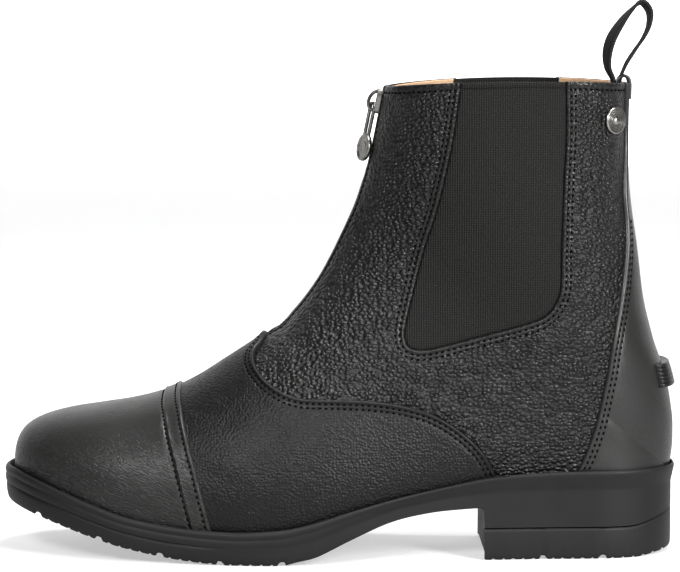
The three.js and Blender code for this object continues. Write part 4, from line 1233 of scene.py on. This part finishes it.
def loft(name, rings, closed=True, capped=True, **more):
    """A closed piece through rings of equally many points, its ends capped."""
    rings = np.asarray(rings, float)
    n, m = rings.shape[:2]
    flat = rings.reshape(-1, 3)
    _, first, place = np.unique(np.round(flat, 4), axis=0, return_index=True, return_inverse=True)
    place = place.reshape(-1)
    faces = []
    for i in range(n - 1):
        for j in range(m):
            a, b = i * m + j, i * m + (j + 1) % m
            faces.append((a, b, b + m, a + m))
    if capped:
        faces += [tuple(range(m - 1, -1, -1)), tuple(range((n - 1) * m, n * m))]
    elif closed:
        faces += [((n - 1) * m + j, (n - 1) * m + (j + 1) % m, (j + 1) % m, j) for j in range(m)]
    kept = []
    for face in faces:
        corners = list(dict.fromkeys(int(place[v]) for v in face))
        if len(corners) > 2:
            kept.append(corners)
    return make_mesh(name, flat[first], kept, **more)


# The sole's side from the underside up: how far each level lies up the edge, and how far
# inside the rim's widest line, at the toe and at the heel
SIDE_LEVELS = table("up toe heel", [
    [0.0, 2.0, 1.4], [0.02, 1.5, 1.4], [0.06, 1.1, 1.4], [0.14, 0.8, 1.4], [0.25, 0.55, 1.4],
    [0.36, 0.42, 1.4], [0.43, 0.42, 1.4], [0.455, 0.55, 1.4], [0.475, 0.85, 1.38],
    [0.49, 0.95, 1.35], [0.51, 0.55, 1.3], [0.53, 0.3, 1.25], [0.58, 0.12, 1.05],
    [0.65, 0.05, 0.8], [0.71, 0.15, 0.6], [0.745, 0.36, 0.5], [0.765, 0.42, 0.42],
    [0.785, 0.3, 0.35], [0.81, 0.1, 0.26], [0.86, 0.0, 0.1], [0.91, 0.1, 0.0],
    [0.95, 0.38, 0.08], [0.98, 0.8, 0.35], [1.0, 1.3, 0.8],
])
LOWER_LEVELS = (0.0, 0.03, 0.5)
BOTTOM_COLUMNS = 12
STATION_STEP = 0.75
RIB_PITCH = GROOVE_PITCH / 6
RIB_DEPTH = 0.6
RIB_HALF = 0.7
LIP_SLANT = 1.3


def outline_point(along, side):
    return np.stack([x_at(along), middle(along) + side * half_width(along)], -1)


def outline_normal(along, side):
    step = np.minimum(EPSILON, np.minimum(along, 1 - along) / 2)
    inner = step > 0
    d = outline_point(along + step, side) - outline_point(along - step, side)
    normal = unit(np.stack([-d[:, 1] * side, d[:, 0] * side], -1))
    normal[~inner] = 0
    normal[~inner, 0] = np.where(along[~inner] < 0.5, -1, 1)
    return normal


def ledge(along):
    fore = TOE_LEDGE + (BALL_LEDGE - TOE_LEDGE) * np.minimum(1, along / 0.3)
    return fore + (HEEL_LEDGE - fore) * smooth_step(along, 0.4, 0.75)


def side_points(along, side, offset):
    return outline_point(along, side) + outline_normal(along, side) * offset[:, None]


def stations(first, last, step=STATION_STEP):
    """Places along the sole, evenly spaced round its outline."""
    fine = np.concatenate([[0], np.geomspace(1e-5, 0.02, 60), np.linspace(0.021, 0.979, 900)])
    fine = np.concatenate([fine, 1 - np.geomspace(0.02, 1e-5, 60), [1]])
    fine = fine[(fine >= first) & (fine <= last)]
    p = outline_point(fine, 1)
    arc = np.concatenate([[0], np.cumsum(np.linalg.norm(np.diff(p, axis=0), axis=1))])
    return np.interp(np.linspace(0, arc[-1], int(arc[-1] / step)), arc, fine)


def lift_height(x):
    """The line between heel block and top piece, level and then rising at the back."""
    flat_to, back = x_at(0.93), x_at(1) + HEEL_LEDGE
    u = np.clip((x - flat_to) / (back - flat_to), 0, 1)
    return HEEL_LIFT + (HEEL_LIFT_BACK - HEEL_LIFT) * u * u * (3 - u) / 2


FORE_GROOVES = [x_at(0.41) - i * GROOVE_PITCH for i in range(5)]
HEEL_GROOVES = [x_at(BREAST) + i * GROOVE_PITCH for i in (1, 2)]


def tread(x, grooves):
    """Depth of the tread: deep grooves one pitch apart and fine ribs between them."""
    phase = (x - grooves[0]) / RIB_PITCH
    near = np.abs(phase - np.round(phase)) * RIB_PITCH
    depth = RIB_DEPTH * (1 - smooth_step(near, 0.2, RIB_HALF))
    if grooves is FORE_GROOVES:
        depth = np.where((x < grooves[0] + GAP) & (x > grooves[-1] - GAP), depth, 0)
    for groove in grooves:
        depth = np.maximum(depth, 1.2 * GROOVE_RADIUS * (1 - smooth_step(np.abs(x - groove), 0.9, 1.7)))
    return depth


def hollow_breast(x, across):
    """How far the breast's hollow curve moves the underside back."""
    fade = np.maximum(0, 1 - np.abs(x - x_at(BREAST)) / (3 * BREAST_CURVE))
    return BREAST_CURVE * np.sin(math.pi * across) * fade


def make_outsole():
    fore, heel = stations(0, BREAST), stations(BREAST, 1)
    heel[0] = BREAST + 0.4 / LAST_LENGTH
    along = np.concatenate([fore, heel])
    on_heel = np.concatenate([fore < 0, heel >= 0])
    under = under_height(along)
    rim = rim_height(along)
    x = x_at(along)
    tread_depth = np.where(on_heel, 0, tread(x, FORE_GROOVES))
    low = np.where(on_heel, lift_height(x), under)
    levels = SIDE_LEVELS["up"]
    heelwards = smooth_step(along, 0.3, 0.6)
    step_fade = smooth_step(x, -70, -40)
    rings = []
    sides = {}
    for side in (-1, 1):
        column_points = []
        bottom_inset = SIDE_LEVELS["toe"][0] + (SIDE_LEVELS["heel"][0] - SIDE_LEVELS["toe"][0]) * heelwards
        for i, t in enumerate(LOWER_LEVELS):
            inset = bottom_inset + (0.5 * (i == 0) * on_heel)
            p = side_points(along, side, ledge(along) - inset)
            height = low + (under - low) * t + tread_depth
            column_points.append(np.column_stack([p, height]))
        for up, toe, heel_side in zip(levels, SIDE_LEVELS["toe"], SIDE_LEVELS["heel"]):
            step = toe * (1 - step_fade * (0.43 < up < 0.53)) + 0.35 * step_fade * (0.43 < up < 0.53)
            inset = step + (heel_side - step) * heelwards
            p = side_points(along, side, ledge(along) - inset)
            height = under + (rim_height(along_at(p[:, 0])) - under) * up
            height = height + tread_depth * max(0, 1 - up / 0.25)
            column_points.append(np.column_stack([p, height]))
        cover = np.where(along < 0.75, CAP_HEIGHT, PANEL_HEIGHT) + GAP
        for offset, lip in ((cover + LIP_SLANT, 0), (cover, LIP_HEIGHT)):
            p = side_points(along, side, offset)
            column_points.append(np.column_stack([p, rim_height(along_at(p[:, 0])) - lip]))
        sides[side] = np.stack(column_points, 1)
    for i in range(len(along)):
        outer, inner = sides[-1][i], sides[1][i]
        across = np.linspace(0, 1, BOTTOM_COLUMNS + 1)[1:-1, None]
        bottom = outer[0] * (1 - across) + inner[0] * across
        bottom[:, 0] += hollow_breast(x[i], across[:, 0])
        rings.append(np.vstack([outer[::-1], bottom, inner]))
    return loft("sole", rings, capped=False, closed=False, stands_for=["outsole"],
                slot="sole_rubber", sharp=50)


def make_top_piece():
    along = stations(BREAST, 1)
    x = x_at(along)
    top = lift_height(x) - GAP
    bevel = HEEL_BEVEL * np.clip((x - x_at(0.95)) / (x_at(1) + HEEL_LEDGE - x_at(0.95)), 0, 1)
    low = tread(x, HEEL_GROOVES) + bevel
    rows = ((0, 0.5), (0.04, 0.1), (0.1, 0), (0.9, 0), (0.96, 0.1), (1, 0.5))
    rings = []
    for i in range(len(along)):
        loop = []
        for side, order in ((-1, rows[::-1]), (1, rows)):
            for up, inset in order:
                offset = ledge(along[i:i + 1]) - HEEL_INSET - inset
                px, py = side_points(along[i:i + 1], side, offset)[0]
                loop.append([px, py, low[i] + (top[i] - low[i]) * up])
            if side == -1:
                foot = np.array(loop[-1])
        other = np.array(loop[len(rows)])
        top_outer, top_inner = np.array(loop[0]), np.array(loop[-1])
        across = np.linspace(0, 1, BOTTOM_COLUMNS + 1)[1:-1, None]
        bottom = foot * (1 - across) + other * across
        roof = top_inner * (1 - across) + top_outer * across
        bottom[:, 0] += hollow_breast(x[i], across[:, 0])
        roof[:, 0] += hollow_breast(x[i], across[:, 0])
        rings.append(np.vstack([loop[:len(rows)], bottom, loop[len(rows):], roof]))
    return loft("heel_top_layer", rings, stands_for=["heel_top_piece"], slot="sole_rubber", sharp=50)


def make_insole():
    along = stations(0.0, 1.0, 2.5)
    rings = []
    for a in along:
        here = np.array([a])
        ends = toe_round(here) * heel_round(here)
        offset = -WALL - 1 - 1.5 * (1 - ends)
        outer, inner = (side_points(here, side, offset)[0] for side in (-1, 1))
        across = np.linspace(0, 1, 13)
        plan = outer * (1 - across[:, None]) + inner * across[:, None]
        edge = np.minimum(across, 1 - across)[:, None] * np.linalg.norm(inner - outer)
        floor = seat_height(along_at(plan[:, 0])) + GAP
        dish = INSOLE_THICKNESS + 0.8 * np.exp(-(edge[:, 0] / 8) ** 2) - 0.8 * np.exp(-(edge[:, 0] / 1.2) ** 2)
        top = np.column_stack([plan, floor + dish])
        bottom = np.column_stack([plan, floor])
        rings.append(np.vstack([bottom, top[::-1]]))
    return loft("sock_lining", rings, capped=False, closed=False, stands_for=["insole"],
                slot="insole_board", sharp=60)


make_outsole()
make_top_piece()
make_insole()

# Zip: tape in the slot, two rows of teeth up to the slider, slider and pull
TOOTH_PITCH = 1.35


def ridge_places():
    """Points of the front ridge from the vamp to the collar, with the outward direction."""
    s = np.arange(12.6, LAST_SECTION + 0.01, 0.05)
    p = last_point(s, 0 * s)
    ahead = unit(np.gradient(p, axis=0))
    outward = unit(np.stack([-ahead[:, 2], 0 * s, ahead[:, 0]], 1))
    return p, outward


def ridge_at(z):
    """The place on the ridge at a height, and its lean from upright."""
    p, _ = ridge_places()
    i = int(np.searchsorted(p[:, 2], z))
    a, b = p[i - 1], p[i]
    u = (z - a[2]) / (b[2] - a[2])
    return a + (b - a) * u, math.atan2(b[0] - a[0], b[2] - a[2])


def make_tape():
    strip = body_sheet.where("vamp", UNDERLAP - 1, above=False).where("from_ridge", 5.4, above=False)
    strip = strip.where("collar", 1.2)
    tuck = lambda f: -1.0 - 0.28 * smooth_step(f.get("from_ridge"), 2.9, 3.4)
    return shell(
        "zip_band", strip, [("from_ridge", [2.9, 3.15, 3.4])], tuck, lambda f: tuck(f) - 0.65,
        stands_for=["zip"], slot="zip_tape",
    )


def tooth_shape():
    """One tooth: a short rounded bar across the zip."""
    length, width, height = 2.3, 0.75, 0.95
    rings = []
    for t, scale in ((-1, 0.55), (-0.8, 0.95), (0.6, 1), (0.85, 0.8), (1, 0.4)):
        ring = []
        for y, z in ((-1, -0.5), (-1, 0.5), (-0.5, 1), (0.5, 1), (1, 0.5), (1, -0.5)):
            ring.append((t * length / 2, y * width / 2 * scale, z * height / 2 * scale))
        rings.append(ring)
    points = np.array(rings).reshape(-1, 3)
    faces = [(i * 6 + a, i * 6 + (a + 1) % 6, i * 6 + 6 + (a + 1) % 6, i * 6 + 6 + a)
             for i in range(4) for a in range(6)]
    faces += [tuple(reversed(range(6))), tuple(range(24, 30))]
    return points, faces


def make_teeth(slider_z):
    p, outward = ridge_places()
    arc = np.concatenate([[0], np.cumsum(np.linalg.norm(np.diff(p, axis=0), axis=1))])
    top = np.interp(slider_z, p[:, 2], arc)
    places = []
    for side in (-1, 1):
        for at in np.arange(0.5 + 0.25 * side * TOOTH_PITCH + 1, top, TOOTH_PITCH):
            take = lambda q: np.array([np.interp(at, arc, q[:, c]) for c in range(3)])
            centre = take(p) + take(outward) * -0.72 + np.array([0, side * 0.85, 0])
            places.append((centre, np.array([0, -side, 0.0]), take(outward)))
    return scatter("zip_teeth", tooth_shape(), places, slot="zip_tape", look=TEETH, sharp=30)


def tube(path, radius, sides=10, flat=1.0):
    """Rings of a round wire along a path, its width across Y scaled by flat."""
    path = np.asarray(path, float)
    ahead = unit(np.gradient(path, axis=0))
    rings = []
    for p, a in zip(path, ahead):
        u = unit(np.cross(a, (0, 1, 0)))
        v = unit(np.cross(a, u))
        turn = np.linspace(0, 2 * math.pi, sides, endpoint=False)[:, None]
        rings.append(p + radius * (np.cos(turn) * u + np.sin(turn) * flat * v))
    return rings


def turned(points, tilt, place):
    """Points leant back about Y and moved to their place."""
    c, s = math.cos(tilt), math.sin(tilt)
    p = np.asarray(points, float)
    x, y, z = p[..., 0], p[..., 1], p[..., 2]
    return np.stack([x * c + z * s, y, -x * s + z * c], -1) + place


def lathe(profile, sides=48):
    """Rings of a round piece about X from [x, radius] points."""
    turn = np.linspace(0, 2 * math.pi, sides, endpoint=False)
    return [np.column_stack([np.full(sides, x), r * np.cos(turn), r * np.sin(turn)]) for x, r in profile]


def make_slider():
    place, tilt = ridge_at(float(z_at(SECTIONS["top"][-1])) - SLIDER_DROP)
    w, l = SLIDER_WIDTH / 2, SLIDER_LENGTH / 2
    outline = []
    for z, half, corner in ((-l, w * 0.62, 1), (0, w * 0.92, 0), (l, w, 1)):
        outline.append((z, half))
    shape = smooth_line([[-l, w * 0.45], [-l + 1.0, w * 0.66], [0.5, w * 0.98], [l - 1.4, w], [l, w * 0.8]], 20)
    ring = [(0, y, z) for z, y in shape] + [(0, -y, z) for z, y in shape[::-1]]
    ring = np.array(ring)
    rings = []
    for x, inset in ((0.9, 0.35), (0.75, 0.0), (-1.7, 0.0), (-2.0, 0.4)):
        scaled = ring * np.array([1, 1 - inset / w, 1 - inset / l])
        scaled[:, 0] = x
        rings.append(turned(scaled, tilt, place))
    loft("zip_slider_plate", rings, stands_for=["zip_slider"], slot="silver_metal", sharp=35)
    arch = smooth_line([[-1.5, -l + 0.9], [-3.4, -l + 1.3], [-4.7, -2.6], [-4.9, 0.4], [-3.7, 3.0], [-1.5, l - 0.7]], 28)
    path = np.column_stack([arch[:, 0], 0 * arch[:, 0], arch[:, 1]])
    loft("zip_slider_bail", turned(tube(path, 0.75, 12, 1.8), tilt, place), slot="silver_metal", sharp=50)
    return place, tilt


PULL_TWIST = math.radians(24)


def twisted(rings):
    """The pull hangs turned a little about its own length."""
    rings = np.array(rings)
    c, s = math.cos(PULL_TWIST), math.sin(PULL_TWIST)
    x, y, z = rings[..., 0], rings[..., 1], rings[..., 2]
    return np.stack([x * c - y * s, x * s + y * c, z], -1)


def make_pull(tilt, pivot):
    """The pull hangs from its bar: a wire link, then a round end with a raised rim."""
    half = 2.1
    sides = [smooth_line_3d([[0, side * 1.0, 0.55], [0, side * half * 0.9, 0.2], [0, side * half, -1.2],
                             [0, side * half * 0.98, -8], [0, side * half * 0.95, -PULL_LINK - 0.6]], 20)
             for side in (-1, 1)]
    wire = np.vstack([sides[0][::-1], sides[1]])
    rings = tube_any(wire, 0.78)
    loft("zip_pull_link", turned(twisted(rings), tilt, pivot), body="zip_pull", stands_for=["zip_pull"],
         slot="silver_metal", sharp=50)
    disc = []
    r = PULL_DISC / 2
    for x, radius in (
        (-0.55, 0.01), (-0.55, r * 0.3), (-0.75, r * 0.34), (-0.75, r * 0.42), (-0.5, r * 0.47),
        (-0.5, r * 0.72), (-0.95, r * 0.8), (-1.0, r * 0.88), (-0.85, r * 0.96), (-0.4, r),
        (0.4, r), (0.85, r * 0.96), (0.95, r * 0.88), (0.5, r * 0.8), (0.5, 0.01),
    ):
        disc.append((x, radius))
    rings = np.array(lathe(disc, 40))
    centre = np.array([0, 0, -PULL_LINK - r + 0.6])
    loft("zip_pull_disc", turned(twisted(rings) + centre, tilt, pivot), body="zip_pull", slot="silver_metal", sharp=35)




def smooth_line_3d(points, steps):
    return smooth_line(points, steps)


def tube_any(path, radius, sides=10):
    """Rings of a round wire along any path that lies square to X."""
    path = np.asarray(path, float)
    ahead = unit(np.gradient(path, axis=0))
    turn = np.linspace(0, 2 * math.pi, sides, endpoint=False)[:, None]
    rings = []
    for p, a in zip(path, ahead):
        v = np.cross(a, (1, 0, 0))
        rings.append(p + radius * (np.cos(turn) * np.array([[1.0, 0, 0]]) + np.sin(turn) * v))
    return rings


def make_stud():
    """A plain cap stud with rings, on the outer side near the back of the collar."""
    s, k = 30.25, -0.84
    centre = last_point(s, k)
    up = last_point(s + EPSILON, k) - last_point(s - EPSILON, k)
    across = last_point(s, k + EPSILON) - last_point(s, k - EPSILON)
    normal = unit(unit(np.cross(up, across)) + (0, -0.26, 0))
    r = STUD_DIAMETER / 2
    profile = [(-0.9, 0.01), (-0.9, r * 0.9), (1.2, r * 0.98), (1.5, r), (1.8, r * 0.97)]
    for i in range(4):
        share = 0.93 - 0.16 * i
        profile += [(1.95, r * share), (1.95, r * (share - 0.05)), (1.6, r * (share - 0.075)),
                    (1.6, r * (share - 0.125))]
    profile += [(2.1, r * 0.26), (2.35, r * 0.16), (2.42, r * 0.06), (2.43, 0.01)]
    rings = np.array(lathe(profile, 56))
    side = unit(np.cross(normal, (0, 0, 1)))
    axes = np.stack([normal, side, np.cross(normal, side)])
    loft("stud_cap", rings @ axes + centre, stands_for=["stud"], slot="silver_metal", sharp=35)


LOOP_PATH = [
    [0, 0], [-0.07, 0.16], [-0.08, 0.33], [-0.03, 0.52], [0.08, 0.7], [0.21, 0.86],
    [0.36, 0.975], [0.46, 0.87], [0.46, 0.7], [0.39, 0.54], [0.27, 0.37], [0.16, 0.2], [0.08, 0],
]


LOOP_TWIST = 0.34


def make_loop():
    """A ribbed tape sewn inside the back of the collar, standing up in a leaning loop."""
    back_top = last_point(LAST_SECTION, 1)
    x = back_top[0] - WALL - 3 * GAP - 2 * LOOP_TAPE
    path = [[x + LOOP_TAPE / 2 + a * LOOP_HEIGHT, COLLAR_HEIGHT + b * LOOP_REACH] for a, b in LOOP_PATH]
    foot = COLLAR_HEIGHT - LOOP_TAIL
    path = [[x + LOOP_TAPE / 2, foot], [x + LOOP_TAPE / 2, foot + 8]] + path
    path += [[x + 1.5 * LOOP_TAPE, COLLAR_HEIGHT - 6], [x + 1.5 * LOOP_TAPE, foot]]
    line = smooth_line(path, 220)
    ahead = unit(np.gradient(line, axis=0))
    rings = []
    half, thick = LOOP_WIDTH / 2, LOOP_TAPE / 2
    last = len(line) - 1
    for i, ((px, pz), (dx, dz)) in enumerate(zip(line, ahead)):
        ring = []
        part = i / last
        twist = LOOP_TWIST * (
            math.exp(-((part - 0.3) / 0.12) ** 2) - 0.6 * math.exp(-((part - 0.53) / 0.08) ** 2)
            + 0.35 * math.exp(-((part - 0.78) / 0.1) ** 2)
        )
        c, sn = math.cos(twist), math.sin(twist)
        for y, t in ((-1, 0), (-0.97, 0.7), (-0.88, 1), (-0.3, 1), (0.3, 1), (0.88, 1), (0.97, 0.7), (1, 0),
                     (0.97, -0.7), (0.88, -1), (0.3, -1), (-0.3, -1), (-0.88, -1), (-0.97, -0.7)):
            u, v = y * half * c - t * thick * sn, y * half * sn + t * thick * c
            ring.append((px - dz * v, u, pz + dx * v))
        rings.append(ring)
    loft("pull_loop_tape", rings, stands_for=["pull_loop"], slot="loop_tape", sharp=50)


def make_back_tab():
    """The back seam's strip, folded over the collar and sewn down inside."""
    back = last_point(LAST_SECTION, 1)
    line = smooth_line([
        [1.9, -7.0], [2.0, -3.5], [2.0, -0.5], [1.3, 1.9], [-0.4, 2.9], [-2.2, 2.0], [-2.9, -0.5],
        [-2.8, -5], [-2.7, -11],
    ], 48)
    ahead = unit(np.gradient(line, axis=0))
    half, thick = 6.5, 0.55
    rings = []
    for (px, pz), (dx, dz) in zip(line, ahead):
        ring = []
        for t, ys in ((1, np.linspace(-1, 1, 11)), (-1, np.linspace(1, -1, 11))):
            for y in ys:
                edge = math.sqrt(max(0, 1 - max(0, (abs(y) - 0.9) / 0.1) ** 2))
                bend = -((y * half) ** 2) / 52
                offset = t * thick * (0.25 + 0.75 * edge)
                ring.append((back[0] + px + bend - dz * offset, y * half, back[2] + pz + dx * offset))
        rings.append(ring)
    loft("back_tab", rings, slot="smooth_leather", look=SATIN, sharp=50)


def make_spur_rest():
    """A short stack of leather across the back of the heel."""
    low = float(z_at(np.float64(0.79)))
    high = low + SPUR_HEIGHT
    half = SPUR_WIDTH / 2
    layers = 6
    pitch = SPUR_HEIGHT / layers
    levels = [low + pitch * (i + d) for i in range(layers) for d in (0, 0.08, 0.2, 0.5, 0.8, 0.92)]

    def ledge_height(sheet):
        part = (sheet.get("z") - low) / pitch
        near = np.abs(part - np.round(part)) * pitch
        groove = 0.45 * (1 - smooth_step(near, 0.05, 0.4))
        ends = np.clip((half - np.abs(sheet.get("y"))) / 5, 0, 1)
        full = SPUR_DEPTH * np.sqrt(1 - (1 - ends) ** 2)
        return PANEL_HEIGHT + 0.1 + full - groove * np.minimum(1, full)

    strip = panel_sheet.where("y", -half).where("y", half, above=False)
    strip = strip.where("z", low).where("z", high, above=False)
    cuts = [("z", levels[1:]), ("y", [-half + 0.1, -half + 0.5, -half + 1.2, -half + 2.4,
                                      half - 2.4, half - 1.2, half - 0.5, half - 0.1])]
    shell("spur_ledge", strip, cuts, ledge_height, lambda f: PANEL_HEIGHT - 0.3 + 0 * f.get("x"),
          stands_for=["spur_rest"], slot="stacked_leather", sharp=30)


make_tape()
slider_place, slider_tilt = make_slider()
make_teeth(float(slider_place[2]) - SLIDER_LENGTH / 2 + 1)
PIVOT_X, PIVOT_Z = -2.85, -1.9
make_pull(slider_tilt, turned([PIVOT_X, 0, PIVOT_Z], slider_tilt, slider_place))
make_stud()
make_loop()
make_back_tab()
make_spur_rest()

# Camera at the photograph's place, floor, lights
CAMERA_AT = (0.0, -1.5, 0.248)
CAMERA_AIM = (0.0004, 0, 0.1135)
CAMERA_LENS = 184.5


def aim(thing, place, target):
    thing.location = place
    thing.rotation_euler = (Vector(target) - Vector(place)).to_track_quat("-Z", "Y").to_euler()


def make_camera():
    data = bpy.data.cameras.new("camera")
    data.lens = CAMERA_LENS
    data.sensor_width = 36
    data.clip_end = 20
    camera = bpy.data.objects.new("camera", data)
    bpy.context.scene.collection.objects.link(camera)
    aim(camera, CAMERA_AT, CAMERA_AIM)
    bpy.context.scene.camera = camera


def make_stage(name, corners, look):
    mesh = bpy.data.meshes.new(name)
    mesh.from_pydata(corners, [], [(0, 1, 2, 3)])
    mesh.materials.append(look)
    plane = bpy.data.objects.new(name, mesh)
    bpy.context.scene.collection.objects.link(plane)


def make_floor():
    """A pale floor, and a white backdrop well behind it."""
    size, low, far = 6, -0.0002, 3
    pale, _, _ = new_material("floor", (0.35, 0.35, 0.35, 1), 0.9, **{
        "Emission Color": (1, 1, 1, 1), "Emission Strength": 0.55,
    })
    corners = [(-size, -size, low), (size, -size, low), (size, size, low), (-size, size, low)]
    make_stage("floor", corners, pale)
    white, _, _ = new_material("backdrop", (0.9, 0.9, 0.9, 1), 0.9, **{
        "Emission Color": (1, 1, 1, 1), "Emission Strength": 1.0,
    })
    make_stage("backdrop", [(-size, far, low), (size, far, low), (size, far, 4), (-size, far, 4)], white)


def make_light(name, place, target, size, power):
    data = bpy.data.lights.new(name, "AREA")
    data.shape = "RECTANGLE"
    data.size, data.size_y = size
    data.energy = power
    light = bpy.data.objects.new(name, data)
    bpy.context.scene.collection.objects.link(light)
    aim(light, place, target)


def make_world():
    world = bpy.data.worlds.new("studio")
    world.use_nodes = True
    world.node_tree.nodes["Background"].inputs["Color"].default_value = (1, 1, 1, 1)
    world.node_tree.nodes["Background"].inputs["Strength"].default_value = 0.12
    bpy.context.scene.world = world


make_camera()
make_floor()
make_world()
make_light("key", (-0.45, -1.35, 0.95), (0, 0, 0.1), (0.4, 0.4), 27)
make_light("right", (1.0, -1.2, 0.7), (0.05, 0, 0.1), (0.35, 0.6), 48)
make_light("top", (0.25, 0.0, 1.5), (0, 0, 0.1), (0.6, 0.6), 34)
bpy.context.scene.view_settings.view_transform = "Standard"
bpy.context.scene.view_settings.gamma = 0.8
